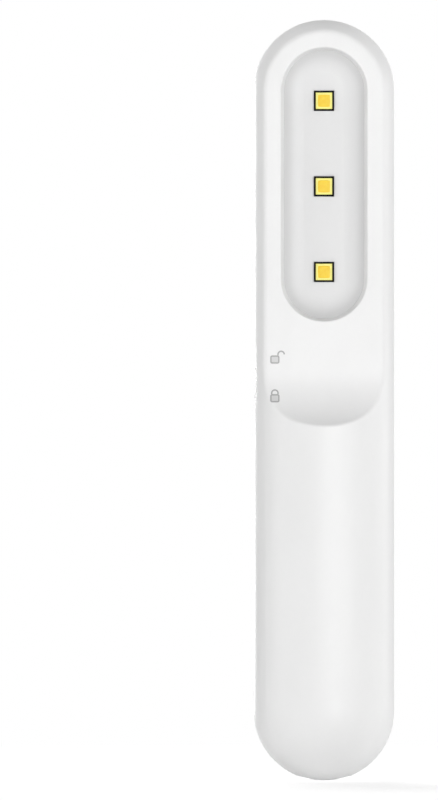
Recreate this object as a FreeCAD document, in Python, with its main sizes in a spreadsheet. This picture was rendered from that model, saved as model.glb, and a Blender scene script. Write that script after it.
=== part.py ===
"""Handheld UV sterilizer wand: an oval casing in two halves with a flat lamp head, a push button, a side
lock, a cell and three boards.

Lengths are in millimetres. X runs across the wand and Y through it: the button looks to -Y and the lamps
look to +Y. Z runs along the wand with the lamp head up. The origin is the middle of the casing.
"""
import FreeCAD
import Part
import math
import os
import re
import Sketcher
from FreeCAD import Placement, Rotation, Vector

# Driving sizes, one sheet cell each
SIZES = {
    # Casing
    "body_length": 130.0,
    "body_width": 24.0,
    "body_depth": 19.6,
    "wall": 1.6,
    "head_edge_round": 0.5,
    "scoop_radius": 11.5,
    "scoop_below_window": 17.8,
    "lip_height": 1.0,
    "lip_gap": 0.1,
    "seam_width": 0.2,
    "seam_depth": 0.15,
    "touch_inset": 0.15,
    "cut_over": 1.0,
    # Lamp window and reflector tray
    "window_border": 2.73,
    "window_length": 46.7,
    "window_drop": 0.15,
    "window_taper": 0.5,
    "window_edge_round": 0.3,
    "recess_depth": 2.8,
    "tray_floor": 0.8,
    "tray_wall": 0.9,
    "tray_slope": 2.2,
    "tray_round": 5.0,
    "tray_flange": 1.0,
    "tray_side_gap": 0.4,
    # UV lamps and their board
    "led_size": 3.4,
    "led_frame": 0.3,
    "led_pitch": 14.6,
    "led_row_shift": -0.3,
    "led_stand": 0.3,
    "led_window_drop": 0.1,
    "led_seat_depth": 0.6,
    "led_gap": 0.06,
    "led_board_width": 11.0,
    "led_board_thick": 1.2,
    "led_board_end": 3.4,
    "hook_width": 5.0,
    "hook_thick": 0.8,
    "hook_gap": 0.1,
    # Power button and its ring
    "button_below_window": 8.5,
    "button_diameter": 11.2,
    "button_gap": 0.2,
    "button_round": 0.25,
    "button_lip": 0.7,
    "button_lip_overlap": 0.35,
    "button_skin": 2.8,
    "button_rim": 1.2,
    "button_stem_radius": 1.7,
    "button_travel": 0.6,
    "stop_gap": 0.05,
    "ring_width": 0.65,
    "ring_gap": 0.12,
    "ring_round": 0.12,
    "ring_seat": 0.87,
    "collar_wall": 1.2,
    "ledge_thick": 0.8,
    # Tact switch
    "tact_size": 6.0,
    "tact_height": 1.7,
    "tact_cover": 0.25,
    "plunger_radius": 1.7,
    "plunger_exposed": 0.8,
    "plunger_hidden": 0.5,
    "plunger_gap": 0.1,
    # Indicator
    "indicator_above_button": 11.27,
    "pipe_radius": 0.48,
    "pipe_gap": 0.05,
    "pipe_collar_radius": 1.2,
    "pipe_collar_thick": 0.8,
    "indicator_height": 0.7,
    "indicator_width": 1.6,
    "indicator_gap": 0.15,
    # Boards, posts and screws
    "board_thick": 1.0,
    "board_side_gap": 0.5,
    "board_room": 2.55,
    "main_below": 10.5,
    "main_above": 25.0,
    "post_side_inset": 2.3,
    "post_radius": 1.8,
    "post_gap": 0.3,
    "post_inset": 2.4,
    "pilot_radius": 0.65,
    "screw_hole_radius": 0.95,
    "screw_radius": 0.6,
    "screw_head_radius": 1.6,
    "screw_head_height": 0.9,
    "screw_crown_radius": 1.1,
    "screw_grip": 2.0,
    "screw_cross": 0.5,
    "pilot_depth": 3.0,
    # Side lock
    "slider_below_button": 0.7,
    "slider_travel": 4.0,
    "slider_width": 3.8,
    "slider_length": 6.4,
    "slider_gap": 0.2,
    "slider_wall_gap": 0.12,
    "slider_overlap": 0.8,
    "slider_depth": 3.0,
    "slider_groove": 0.35,
    "slider_groove_pitch": 1.1,
    "slider_corner": 0.9,
    "slider_round": 0.15,
    "slot_round": 0.2,
    "rail_gap": 0.1,
    "rail_thick": 0.9,
    "rail_reach": 1.9,
    "slide_length": 6.8,
    "slide_depth": 3.4,
    "slide_height": 2.4,
    "lever_half_length": 1.0,
    "lever_half_height": 0.7,
    "lever_inside": 1.9,
    "lever_gap": 0.1,
    "prong_length": 1.1,
    "prong_thick": 0.8,
    # Cell
    "cell_gap": 1.2,
    "cell_end_gap": 1.3,
    "cell_clearance": 0.15,
    "cell_edge": 0.6,
    "cell_nub_radius": 2.6,
    "cell_nub_height": 0.7,
    "tab_width": 4.0,
    "tab_length": 7.0,
    "tab_thick": 0.25,
    "rib_thick": 1.6,
    "rib_half_width": 5.5,
    "rib_inset": 8.0,
    # Charging port and its board
    "port_setback": 0.9,
    "port_gap": 0.2,
    "usb_width": 8.94,
    "usb_height": 3.2,
    "usb_corner": 1.4,
    "usb_length": 7.3,
    "usb_sheet": 0.3,
    "usb_back": 1.0,
    "usb_overhang": 4.4,
    "tongue_width": 6.7,
    "tongue_thick": 0.7,
    "tongue_setback": 1.2,
    "charge_width": 11.6,
    "charge_behind": 6.5,
    "charge_post_x": 4.0,
    "charge_post_inset": 3.2,
    # Small parts on the boards
    "chip_length": 2.9,
    "chip_width": 1.6,
    "chip_height": 1.1,
    "chip_inset": 4.4,
    "driver_length": 4.9,
    "driver_width": 3.9,
    "driver_height": 1.5,
    "driver_above_button": 8.5,
    "inductor_size": 5.0,
    "inductor_height": 2.5,
    "inductor_above_button": 18.0,
    "capacitor_length": 1.6,
    "capacitor_height": 0.8,
    "capacitor_pitch": 2.0,
    "capacitor_above_button": 13.0,
    # Leads
    "led_lead_x": 3.5,
    "lead_radius": 0.45,
    "lead_bend": 0.8,
    "lead_edge": 0.8,
    "lead_wall_gap": 0.4,
    "charge_lead_spacing": 2.0,
    "charge_lead_drop": 3.3,
}

# Places and sizes that follow from the driving ones
LEVELS = {
    "half_width": "body_width / 2",
    "half_depth": "body_depth / 2",
    "top_end": "body_length / 2",
    "end_centre": "top_end - half_width",
    "flank_radius": "half_depth ^ 2 / half_width",
    "flank_centre": "half_width - flank_radius",
    "crown_radius": "(flank_centre ^ 2 + half_depth ^ 2 - flank_radius ^ 2)"
                    " / (2 * (half_depth - flank_radius))",
    "crown_centre": "crown_radius - half_depth",
    "lean_x": "flank_centre / (crown_radius - flank_radius)",
    "lean_y": "crown_centre / (crown_radius - flank_radius)",
    "head_flat_y": "led_board_front + tray_floor + recess_depth",
    "scoop_run": "sqrt(scoop_radius ^ 2 - (scoop_radius - half_depth + head_flat_y) ^ 2)",
    "scoop_start": "window_bottom - scoop_below_window + scoop_run",
    "mid_wall": "wall / 2",
    "corner_y": "crown_radius * lean_y - crown_centre",
    "flat_half": "head_flat_y < corner_y ? flank_centre + sqrt(flank_radius ^ 2 - head_flat_y ^ 2)"
                 " : sqrt(crown_radius ^ 2 - (head_flat_y + crown_centre) ^ 2)",
    "window_width": "2 * (flat_half - window_border)",
    "window_top": "end_centre + window_width / 2 - window_drop",
    "window_bottom": "window_top - window_length",
    "window_z": "(window_top + window_bottom) / 2",
    "window_bend": "(window_length - window_width) / 2",
    "flat_inner_y": "head_flat_y - wall",
    "tray_mouth": "window_width / 2 - window_taper",
    "tray_floor_y": "led_board_front + tray_floor",
    "tray_depth": "flat_inner_y - tray_floor_y",
    "inner_corner_y": "(crown_radius - wall) * lean_y - crown_centre",
    "inner_half": "flat_inner_y < inner_corner_y"
                  " ? flank_centre + sqrt((flank_radius - wall) ^ 2 - flat_inner_y ^ 2)"
                  " : sqrt((crown_radius - wall) ^ 2 - (flat_inner_y + crown_centre) ^ 2)",
    "tray_half": "inner_half - tray_side_gap",
    "led_z": "window_z + led_row_shift",
    "led_board_front": "led_board_back + led_board_thick",
    "led_board_back": "main_back + board_room",
    "led_board_top": "led_z + led_pitch + led_board_end",
    "led_height": "tray_floor + led_stand",
    "led_window_half": "led_size / 2 - led_frame",
    "led_post_z": "window_z - window_bend - tray_half - post_gap - post_radius",
    "led_board_bottom": "led_post_z - post_radius",
    "button_z": "window_bottom - button_below_window",
    "button_radius": "button_diameter / 2",
    "button_lip_radius": "ring_inner + button_lip_overlap",
    "ring_inner": "button_radius + button_gap",
    "ring_outer": "ring_inner + ring_width",
    "ring_hole": "ring_outer + ring_gap",
    "ledge_y": "crown_centre - sqrt(crown_radius ^ 2 - ring_hole ^ 2) + ring_seat",
    "collar_y": "ledge_y + ledge_thick",
    "button_lip_y": "collar_y + stop_gap",
    "plunger_y": "button_lip_y + button_lip",
    "tact_top": "plunger_y + plunger_exposed",
    "main_front": "tact_top + tact_height",
    "main_back": "main_front + board_thick",
    "main_bottom": "button_z - main_below",
    "main_top": "button_z + main_above",
    "main_half": "half_width - slider_depth - rail_gap - rail_thick - board_side_gap",
    "main_post_x": "main_half - post_side_inset",
    "indicator_z": "button_z + indicator_above_button",
    "inner_crown": "half_depth - wall",
    "slider_z": "button_z - slider_below_button",
    "slider_rest_z": "slider_z - slider_travel / 2",
    "slot_half": "slider_length / 2 + slider_travel / 2 + slider_gap",
    "slider_plate_half": "slot_half + slider_travel / 2 + slider_overlap",
    "slider_inner": "half_width - slider_depth",
    "rail_outer": "slider_inner - rail_gap",
    "lever_y": "main_back + slide_height / 2",
    "lever_tip": "slider_inner - lever_gap",
    "front_rail_y": "min(-rail_reach; lever_y - lever_half_height - rail_gap)",
    "cell_radius": "half_depth - wall - cell_gap",
    "port_mouth": "port_setback - top_end",
    "charge_bottom": "port_mouth + usb_overhang",
    "charge_top": "port_mouth + usb_length + charge_behind",
    "charge_back": "-usb_height / 2",
    "charge_front": "charge_back - board_thick",
    "charge_post_z": "charge_top - charge_post_inset",
    "cell_bottom": "charge_top + cell_end_gap",
    "cell_top": "main_bottom - cell_end_gap",
}

doc = FreeCAD.newDocument("uv_wand")
sheet = doc.addObject("Spreadsheet::Sheet", "Sizes")
for row, (alias, size) in enumerate(SIZES.items(), 1):
    sheet.set("A%d" % row, str(size))
    sheet.setAlias("A%d" % row, alias)
doc.recompute()


def bound(text):
    """Expression with each size and level named in full."""
    def full(match):
        word = match.group(0)
        if word in SIZES:
            return "Sizes." + word
        if word in LEVELS:
            return "Levels." + word
        return word
    return re.sub(r"[a-z][a-z_]*", full, text)


levels = doc.addObject("App::VarSet", "Levels")
for level in LEVELS:
    levels.addProperty("App::PropertyFloat", level, "Derived")
for level, text in LEVELS.items():
    levels.setExpression(level, bound(text))
doc.recompute()


def number(text):
    """Value of an expression in the sheet's names."""
    return float(sheet.evalExpression(bound(text)))


def flipped(text):
    """The same expression with its sign changed."""
    return "-(%s)" % text


# Sketches

def sketch_on(body, role, lift="0"):
    """Sketch on one of a body's origin planes, lifted along that plane's normal."""
    sketch = body.newObject("Sketcher::SketchObject", body.Name + "_sketch")
    plane = next(plane for plane in body.Origin.OriginFeatures if plane.Role == role)
    sketch.AttachmentSupport = (plane, [""])
    sketch.MapMode = "FlatFace"
    sketch.setExpression("AttachmentOffset.Base.z", bound(lift))
    return sketch


def pin_point(sketch, edge, end, x, y):
    """Hold one point of a sketch at x, y from the sketch's origin."""
    for kind, text, axis in (("DistanceX", x, -2), ("DistanceY", y, -1)):
        if text == "0":
            sketch.addConstraint(Sketcher.Constraint("PointOnObject", edge, end, axis))
        else:
            index = sketch.addConstraint(Sketcher.Constraint(kind, -1, 1, edge, end, number(text)))
            sketch.setExpression("Constraints[%d]" % index, bound(text))


def set_radius(sketch, edge, text):
    """Bind the radius of one curve of a sketch."""
    index = sketch.addConstraint(Sketcher.Constraint("Radius", edge, number(text)))
    sketch.setExpression("Constraints[%d]" % index, bound(text))


def arc_between(start, end, radius):
    """Short arc that runs counter-clockwise from start to end."""
    chord = end - start
    to_left = Vector(-chord.y, chord.x, 0).normalize()
    centre = (start + end) * 0.5 + to_left * math.sqrt(radius ** 2 - (chord.Length / 2) ** 2)
    first = math.atan2(start.y - centre.y, start.x - centre.x)
    last = math.atan2(end.y - centre.y, end.x - centre.x)
    if last < first:
        last += 2 * math.pi
    return Part.ArcOfCircle(Part.Circle(centre, Vector(0, 0, 1), radius), first, last)


def outline(sketch, corners, bends=None):
    """Closed counter-clockwise outline; bends gives the edge after a corner an outward bulge."""
    bends = bends or {}
    count = len(corners)
    first = sketch.GeometryCount
    points = [Vector(number(x), number(y), 0) for x, y in corners]
    for index, point in enumerate(points):
        following = points[(index + 1) % count]
        if index in bends:
            curve = arc_between(point, following, number(bends[index]))
        else:
            curve = Part.LineSegment(point, following)
        sketch.addGeometry(curve, False)
    for index, (x, y) in enumerate(corners):
        before = first + (index - 1) % count
        sketch.addConstraint(Sketcher.Constraint("Coincident", before, 2, first + index, 1))
        pin_point(sketch, first + index, 1, x, y)
    for index, radius in bends.items():
        set_radius(sketch, first + index, radius)


def rectangle(sketch, x, y):
    """Rectangle between two pairs of expressions."""
    outline(sketch, [(x[0], y[0]), (x[1], y[0]), (x[1], y[1]), (x[0], y[1])])


def circle(sketch, x, y, radius):
    """Circle with its centre at x, y."""
    centre = Vector(number(x), number(y), 0)
    edge = sketch.addGeometry(Part.Circle(centre, Vector(0, 0, 1), number(radius)), False)
    pin_point(sketch, edge, 3, x, y)
    set_radius(sketch, edge, radius)


def oblong(sketch, radius, low, high):
    """Upright slot outline with round ends centred at heights low and high."""
    size = number(radius)
    arcs = []
    for height, start in ((high, 0), (low, math.pi)):
        centre = Vector(0, number(height), 0)
        round_end = Part.ArcOfCircle(Part.Circle(centre, Vector(0, 0, 1), size), start, start + math.pi)
        edge = sketch.addGeometry(round_end, False)
        pin_point(sketch, edge, 3, "0", height)
        set_radius(sketch, edge, radius)
        sketch.addConstraint(Sketcher.Constraint("Horizontal", edge, 3, edge, 1))
        sketch.addConstraint(Sketcher.Constraint("Horizontal", edge, 3, edge, 2))
        arcs.append(edge)
    top, bottom = arcs
    for tail, head in ((top, bottom), (bottom, top)):
        ends = [sketch.getPoint(tail, 2), sketch.getPoint(head, 1)]
        side = sketch.addGeometry(Part.LineSegment(*ends), False)
        sketch.addConstraint(Sketcher.Constraint("Coincident", tail, 2, side, 1))
        sketch.addConstraint(Sketcher.Constraint("Coincident", side, 2, head, 1))


# Body features

def new_body(name):
    """Empty body."""
    return doc.addObject("PartDesign::Body", name)


def pad(body, sketch, length, both_ways=False, reverse=False):
    """Pad of a sketch along its plane's normal, or half to each side."""
    feature = body.newObject("PartDesign::Pad", body.Name + "_pad")
    feature.Profile = sketch
    feature.setExpression("Length", bound(length))
    feature.SideType = "Symmetric" if both_ways else "One side"
    feature.Reversed = reverse
    doc.recompute()
    return feature


def pocket(body, sketch, length, both_ways=False, reverse=False, taper=None):
    """Pocket of a sketch against its plane's normal, or half to each side."""
    feature = body.newObject("PartDesign::Pocket", body.Name + "_pocket")
    feature.Profile = sketch
    feature.setExpression("Length", bound(length))
    feature.SideType = "Symmetric" if both_ways else "One side"
    feature.Reversed = reverse
    if taper:
        feature.setExpression("TaperAngle", bound(taper))
    doc.recompute()
    return feature


def revolve(body, sketch, angle=360, reverse=False):
    """Turn a sketch about its upright axis."""
    feature = body.newObject("PartDesign::Revolution", body.Name + "_turn")
    feature.Profile = sketch
    feature.ReferenceAxis = (sketch, ["V_Axis"])
    feature.Angle = angle
    feature.Reversed = reverse
    doc.recompute()
    return feature


def edges_where(shape, test):
    """Names of the edges whose points all pass a test."""
    names = []
    for index, edge in enumerate(shape.Edges, 1):
        if not edge.Degenerated and all(test(point) for point in edge.discretize(7)):
            names.append("Edge%d" % index)
    return names


def soften(body, names, radius):
    """Round the named edges of a body's last feature."""
    base = body.Tip
    feature = body.newObject("PartDesign::Fillet", body.Name + "_round")
    feature.Base = (base, names)
    feature.setExpression("Radius", bound(radius))
    doc.recompute()
    return feature


def body_from(name, solid):
    """Body that carries on from a finished solid."""
    body = new_body(name)
    body.BaseFeature = solid
    doc.recompute()
    return body


def place(piece, x="0", y="0", z="0", turn=None):
    """Bind where a piece sits."""
    if turn:
        piece.Placement = Placement(Vector(), turn)
    for axis, text in zip("xyz", (x, y, z)):
        piece.setExpression("Placement.Base." + axis, bound(text))
    return piece


# Solids and how they are joined

def block(name, x, y, z):
    """Box between pairs of expressions."""
    box = doc.addObject("Part::Box", name)
    for side, (low, high) in zip(("Length", "Width", "Height"), (x, y, z)):
        box.setExpression(side, bound("(%s) - (%s)" % (high, low)))
    return place(box, x[0], y[0], z[0])


def slab(name, low, high):
    """Slice of space between two levels of Y, larger than the wand."""
    return block(name, ("-body_width", "body_width"), (low, high), ("-body_length", "body_length"))


ALONG_Y = Rotation(Vector(1, 0, 0), -90)
AGAINST_Y = Rotation(Vector(1, 0, 0), 90)


def rod(name, radius, y, x="0", z="0"):
    """Cylinder along Y between a pair of expressions."""
    cylinder = doc.addObject("Part::Cylinder", name)
    cylinder.setExpression("Radius", bound(radius))
    cylinder.setExpression("Height", bound("(%s) - (%s)" % (y[1], y[0])))
    return place(cylinder, x, y[0], z, ALONG_Y)


def upright_rod(name, radius, z):
    """Cylinder along Z on the wand's axis."""
    cylinder = doc.addObject("Part::Cylinder", name)
    cylinder.setExpression("Radius", bound(radius))
    cylinder.setExpression("Height", bound("(%s) - (%s)" % (z[1], z[0])))
    return place(cylinder, z=z[0])


def joined(name, pieces):
    """Union of solids."""
    fused = doc.addObject("Part::MultiFuse", name)
    fused.Shapes = pieces
    doc.recompute()
    return fused


def less(name, base, tool):
    """One solid cut from another."""
    cut = doc.addObject("Part::Cut", name)
    cut.Base = base
    cut.Tool = tool
    doc.recompute()
    return cut


def shared(name, first, second):
    """What two solids have in common."""
    both = doc.addObject("Part::Common", name)
    both.Base = first
    both.Tool = second
    doc.recompute()
    return both


def grouped(name, pieces):
    """Separate solids kept as one piece of the assembly."""
    group = doc.addObject("Part::Compound", name)
    group.Links = pieces
    doc.recompute()
    return group


def turned(name, corners, z="0"):
    """Body turned about an axis along Y; corners are radius and Y."""
    body = new_body(name)
    sketch = sketch_on(body, "XY_Plane")
    outline(sketch, corners)
    revolve(body, sketch)
    return place(body, z=z)


# Casing forms

def oval_corner(inset):
    """Where the crown and flank arcs of the drawn-in section meet."""
    reach = "(crown_radius - (%s))" % inset
    return reach + " * lean_x", reach + " * lean_y - crown_centre"


def oval(sketch, inset):
    """Casing section from four arcs, drawn in by inset."""
    x, y = oval_corner(inset)
    flank = "flank_radius - (%s)" % inset
    crown = "crown_radius - (%s)" % inset
    corners = [(x, flipped(y)), (x, y), (flipped(x), y), (flipped(x), flipped(y))]
    outline(sketch, corners, {0: flank, 1: crown, 2: flank, 3: crown})


def half_oval(sketch, inset):
    """Right half of the casing section, closed along its upright axis."""
    x, y = oval_corner(inset)
    flank = "flank_radius - (%s)" % inset
    crown = "crown_radius - (%s)" % inset
    depth = "half_depth - (%s)" % inset
    corners = [("0", flipped(depth)), (x, flipped(y)), (x, y), ("0", depth)]
    outline(sketch, corners, {0: crown, 1: flank, 2: crown})


def head_profile(sketch, inset):
    """Side view of what the flat head and the scoop take away."""
    flat = "head_flat_y - (%s)" % inset
    radius = "scoop_radius + %s" % inset
    beyond = "half_depth + cut_over"
    drop = "sqrt((%s) ^ 2 - (head_flat_y + scoop_radius - (%s)) ^ 2)" % (radius, beyond)
    foot = "scoop_start - " + drop
    over = "body_length"
    corners = [(flat, over), (flat, "scoop_start"), (beyond, foot), (over, foot), (over, over)]
    outline(sketch, corners, {1: radius})


def casing_form(name, inset):
    """Solid with the casing's outside, drawn in evenly by inset."""
    body = new_body(name)
    section = sketch_on(body, "XY_Plane")
    oval(section, inset)
    pad(body, section, "2 * end_centre", both_ways=True)
    for side in (1, -1):
        dome = sketch_on(body, "XY_Plane", "%d * end_centre" % side)
        half_oval(dome, inset)
        revolve(body, dome, 180, reverse=side > 0)
    head = sketch_on(body, "YZ_Plane")
    head_profile(head, inset)
    pocket(body, head, "2 * body_width", both_ways=True)
    return body


def on_head_cut(point):
    """Whether a point lies on the flat head or the scoop."""
    flat = number("head_flat_y")
    start = number("scoop_start")
    radius = number("scoop_radius")
    if point.z > start:
        return abs(point.y - flat) < 1e-3
    return abs(math.hypot(point.y - flat - radius, point.z - start) - radius) < 1e-3


def outer_casing():
    """Outside of the casing with the softened head border and the lamp window."""
    body = casing_form("casing_outside", "0")
    start = number("scoop_start")
    border = edges_where(body.Tip.Shape, on_head_cut)
    tangent_line = edges_where(body.Tip.Shape, lambda point: abs(point.z - start) < 1e-3)
    soften(body, [name for name in border if name not in tangent_line], "head_edge_round")
    window = sketch_on(body, "XZ_Plane", "-head_flat_y")
    oblong(window, "window_width / 2", "window_z - window_bend", "window_z + window_bend")
    pocket(body, window, "wall + tray_floor", reverse=True, taper="-atan(window_taper / wall)")
    flat = number("head_flat_y")
    reach = number("window_width") / 2
    bend = number("window_bend")
    middle = number("window_z")

    def on_window(point):
        beyond = max(abs(point.z - middle) - bend, 0)
        return abs(point.y - flat) < 1e-3 and abs(math.hypot(point.x, beyond) - reach) < 1e-3

    soften(body, edges_where(body.Tip.Shape, on_window), "window_edge_round")
    return body


# Casing halves

def rounded(sketch, half_x, half_y, corner):
    """Rectangle about the origin with round corners."""
    short_x = "(%s) - (%s)" % (half_x, corner)
    short_y = "(%s) - (%s)" % (half_y, corner)
    corners = [
        (half_x, flipped(short_y)), (half_x, short_y),
        (short_x, half_y), (flipped(short_x), half_y),
        (flipped(half_x), short_y), (flipped(half_x), flipped(short_y)),
        (flipped(short_x), flipped(half_y)), (short_x, flipped(half_y)),
    ]
    outline(sketch, corners, {1: corner, 3: corner, 5: corner, 7: corner})


def port_space():
    """Room for the charging port through the bottom end."""
    body = new_body("port_space")
    sketch = sketch_on(body, "XY_Plane", "-top_end - cut_over")
    rounded(sketch, "usb_width / 2 + port_gap", "usb_height / 2 + port_gap", "usb_corner + port_gap")
    pad(body, sketch, "charge_bottom + top_end + cut_over")
    return body


def flank_window(name, half_y, half_z, corner, z):
    """Solid with a rounded outline that reaches out through the lock's flank."""
    body = new_body(name)
    sketch = sketch_on(body, "YZ_Plane", "slider_inner")
    rounded(sketch, half_y, half_z, corner)
    pad(body, sketch, "slider_depth + cut_over")
    return place(body, z=z)


def saddle_blocks(side):
    """Two ribs across one half of the casing, under the ends of the cell."""
    ribs = []
    y = ("-half_depth", "-cell_radius / 2") if side < 0 else ("cell_radius / 2", "half_depth")
    for place_z in ("cell_bottom + rib_inset", "cell_top - rib_inset"):
        z = (place_z + " - rib_thick / 2", place_z + " + rib_thick / 2")
        ribs.append(block("cell_rib", ("-rib_half_width", "rib_half_width"), y, z))
    return ribs


def slider_rail(side):
    """Rail that keeps the lock slider against the wall of one half."""
    reach = "slider_plate_half + slider_travel / 2 + slider_gap"
    y = ("-half_depth", "front_rail_y") if side < 0 else ("rail_reach", "half_depth")
    z = ("slider_z - (%s)" % reach, "slider_z + (%s)" % reach)
    return block("slider_rail", ("rail_outer - rail_thick", "rail_outer"), y, z)


def main_post_places():
    """X and Z of the four posts under the main board."""
    heights = ("main_bottom + post_inset", "main_top - post_inset")
    return [(x, z) for z in heights for x in ("-main_post_x", "main_post_x")]


def charge_post_places():
    """X and Z of the two posts under the charge board."""
    return [(x, "charge_post_z") for x in ("-charge_post_x", "charge_post_x")]


def front_supports():
    """Collar, posts, ribs and rail on the inside of the front half."""
    pieces = [rod("button_collar", "ring_hole + collar_wall", ("-half_depth", "collar_y"), z="button_z")]
    for x, z in main_post_places():
        pieces.append(rod("main_post", "post_radius", ("-half_depth", "main_front"), x, z))
    for x, z in charge_post_places():
        pieces.append(rod("charge_post", "post_radius", ("-half_depth", "charge_front"), x, z))
    pieces += saddle_blocks(-1)
    pieces.append(slider_rail(-1))
    return shared("front_supports", joined("front_support_blanks", pieces), mid_level)


def front_openings():
    """What is cut from the front half: bores, pilot holes, slot, port, seam and room for the cell."""
    pieces = [
        rod("ring_bore", "ring_hole", ("-half_depth - cut_over", "ledge_y"), z="button_z"),
        rod("button_bore", "ring_inner", ("ledge_y - cut_over", "collar_y + cut_over"), z="button_z"),
        rod("button_lip_room", "button_lip_radius + button_gap", ("collar_y", "0"), z="button_z"),
        rod("pipe_bore", "pipe_radius + pipe_gap", ("-half_depth - cut_over", "0"), z="indicator_z"),
    ]
    for face, places in (("main_front", main_post_places()), ("charge_front", charge_post_places())):
        span = (face + " - pilot_depth", face + " + cut_over")
        for x, z in places:
            pieces.append(rod("pilot_bore", "pilot_radius", span, x, z))
    return joined("front_openings", pieces + shared_openings)


def on_ring_hole(point):
    """Whether a point lies on the outer edge of the button ring's hole."""
    reach = math.hypot(point.x, point.z - number("button_z"))
    return abs(reach - number("ring_hole")) < 1e-3 and point.y < number("ledge_y") - 0.2


def on_slot_edge(point):
    """Whether a point lies on the slider slot's edge at the casing's outside."""
    inside_y = abs(point.y) < number("slider_width / 2 + slider_gap") + 1e-3
    inside_z = abs(point.z - number("slider_z")) < number("slot_half") + 1e-3
    flank = math.hypot(point.x - number("flank_centre"), point.y)
    return inside_y and inside_z and abs(flank - number("flank_radius")) < 1e-3


def with_slot(name, whole):
    """Casing half with the softened slider slot."""
    body = body_from(name, less(name + "_cut", whole, slot))
    soften(body, edges_where(body.Tip.Shape, on_slot_edge), "slot_round")
    return body


def front_shell():
    """Casing half with the button, the indicator and the boards' posts."""
    hollow = less("front_hollow", shared("front_solid", outside, front_half), cavity)
    lip_slab = slab("lip_slab", "-lip_height", "lip_height")
    lip = less("front_lip", shared("front_lip_solid", lip_outside, lip_slab), cavity)
    whole = joined("front_whole", [hollow, lip, front_supports()])
    body = body_from("front_shell", less("front_cut", with_slot("front_slotted", whole), front_openings()))
    soften(body, edges_where(body.Tip.Shape, on_ring_hole), "ring_round")
    return body


def rear_shell():
    """Casing half with the lamp window, the scoop and the lamp board's post."""
    hollow = less("rear_hollow", shared("rear_solid", outside, rear_half), cavity)
    post = rod("led_post", "post_radius", ("led_board_front", "head_flat_y"), z="led_post_z")
    blanks = joined("rear_support_blanks", [post, slider_rail(1)] + saddle_blocks(1))
    whole = joined("rear_whole", [hollow, shared("rear_supports", blanks, mid_level)])
    groove_slab = slab("groove_slab", "-cut_over", "lip_height + lip_gap")
    groove = shared("lip_groove", mid_level, groove_slab)
    pilot_end = "led_board_front + pilot_depth"
    pilot = rod("led_pilot", "pilot_radius", ("led_board_front - cut_over", pilot_end), z="led_post_z")
    openings = joined("rear_openings", [groove, pilot] + shared_openings)
    return less("rear_shell", with_slot("rear_slotted", whole), openings)


# Button, ring and indicator

def button_ring():
    """Ring around the button, glued on the ledge of its bore and flush with the casing."""
    top = "-half_depth - cut_over"
    corners = [("ring_inner", top), ("ring_outer", top), ("ring_outer", "ledge_y"), ("ring_inner", "ledge_y")]
    blank = turned("ring_blank", corners, "button_z")
    body = body_from("button_ring", shared("ring_flush", blank, outside))
    soften(body, edges_where(body.Tip.Shape, lambda point: point.y < number("ledge_y") - 0.2), "ring_round")
    return body


def power_button():
    """Button cap with a lip behind the ledge and a stem on the tact switch."""
    top = "-half_depth - cut_over"
    skin = "button_skin - half_depth"
    rim = "button_radius - button_rim"
    corners = [
        ("0", top), ("button_radius", top), ("button_radius", "button_lip_y"),
        ("button_lip_radius", "button_lip_y"), ("button_lip_radius", "plunger_y"),
        (rim, "plunger_y"), (rim, skin), ("button_stem_radius", skin),
        ("button_stem_radius", "plunger_y"), ("0", "plunger_y"),
    ]
    blank = turned("button_blank", corners, "button_z")
    body = body_from("power_button", shared("button_flush", blank, touch_level))

    def on_top_edge(point):
        reach = math.hypot(point.x, point.z - number("button_z"))
        return point.y < number("ledge_y") - 0.2 and abs(reach - number("button_radius")) < 1e-3

    soften(body, edges_where(body.Tip.Shape, on_top_edge), "button_round")
    return body


def indicator_light_pipe():
    """Clear rod that brings the indicator's light through the front half."""
    top = "-half_depth"
    seat = "pipe_gap * 2 - inner_crown"
    foot = "main_front - indicator_height - indicator_gap"
    corners = [
        ("0", top), ("pipe_radius", top), ("pipe_radius", seat), ("pipe_collar_radius", seat),
        ("pipe_collar_radius", seat + " + pipe_collar_thick"), ("pipe_radius", seat + " + pipe_collar_thick"),
        ("pipe_radius", foot), ("0", foot),
    ]
    return turned("indicator_light_pipe", corners, "indicator_z")


# Lamp head

def reflector_tray():
    """Shallow oblong dish behind the lamp window, with square lamp holes and a hook for the lamp board."""
    body = new_body("reflector_tray")
    low, high = "window_z - window_bend", "window_z + window_bend"
    flange = sketch_on(body, "XZ_Plane", "-flat_inner_y")
    oblong(flange, "tray_half", low, high)
    pad(body, flange, "tray_flange")
    shell = sketch_on(body, "XZ_Plane", "-flat_inner_y")
    oblong(shell, "tray_mouth + tray_wall", low, high)
    pad(body, shell, "flat_inner_y - led_board_front")
    hollow = sketch_on(body, "XZ_Plane", "-flat_inner_y")
    oblong(hollow, "tray_mouth", low, high)
    pocket(body, hollow, "tray_depth", reverse=True, taper="-atan(tray_slope / tray_depth)")
    floor = number("tray_floor_y")
    soften(body, edges_where(body.Tip.Shape, lambda point: abs(point.y - floor) < 1e-3), "tray_round")
    holes = sketch_on(body, "XZ_Plane", "-tray_floor_y")
    half = "led_size / 2 + led_gap"
    for step in (-1, 0, 1):
        middle = "led_z + %d * led_pitch" % step
        rectangle(holes, (flipped(half), half), ("%s - (%s)" % (middle, half), "%s + %s" % (middle, half)))
    pocket(body, holes, "tray_floor", reverse=True)
    hook = sketch_on(body, "YZ_Plane")
    catch = "led_board_back - hook_gap"
    back = "led_board_back - hook_gap - hook_thick"
    root = "led_board_front + tray_floor / 2"
    outline(hook, [
        (back, "led_board_top - hook_thick"), (catch, "led_board_top - hook_thick"),
        (catch, "led_board_top + hook_gap"), (root, "led_board_top + hook_gap"),
        (root, "led_board_top + hook_gap + hook_thick"), (back, "led_board_top + hook_gap + hook_thick"),
    ])
    pad(body, hook, "hook_width", both_ways=True)
    return body


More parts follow.
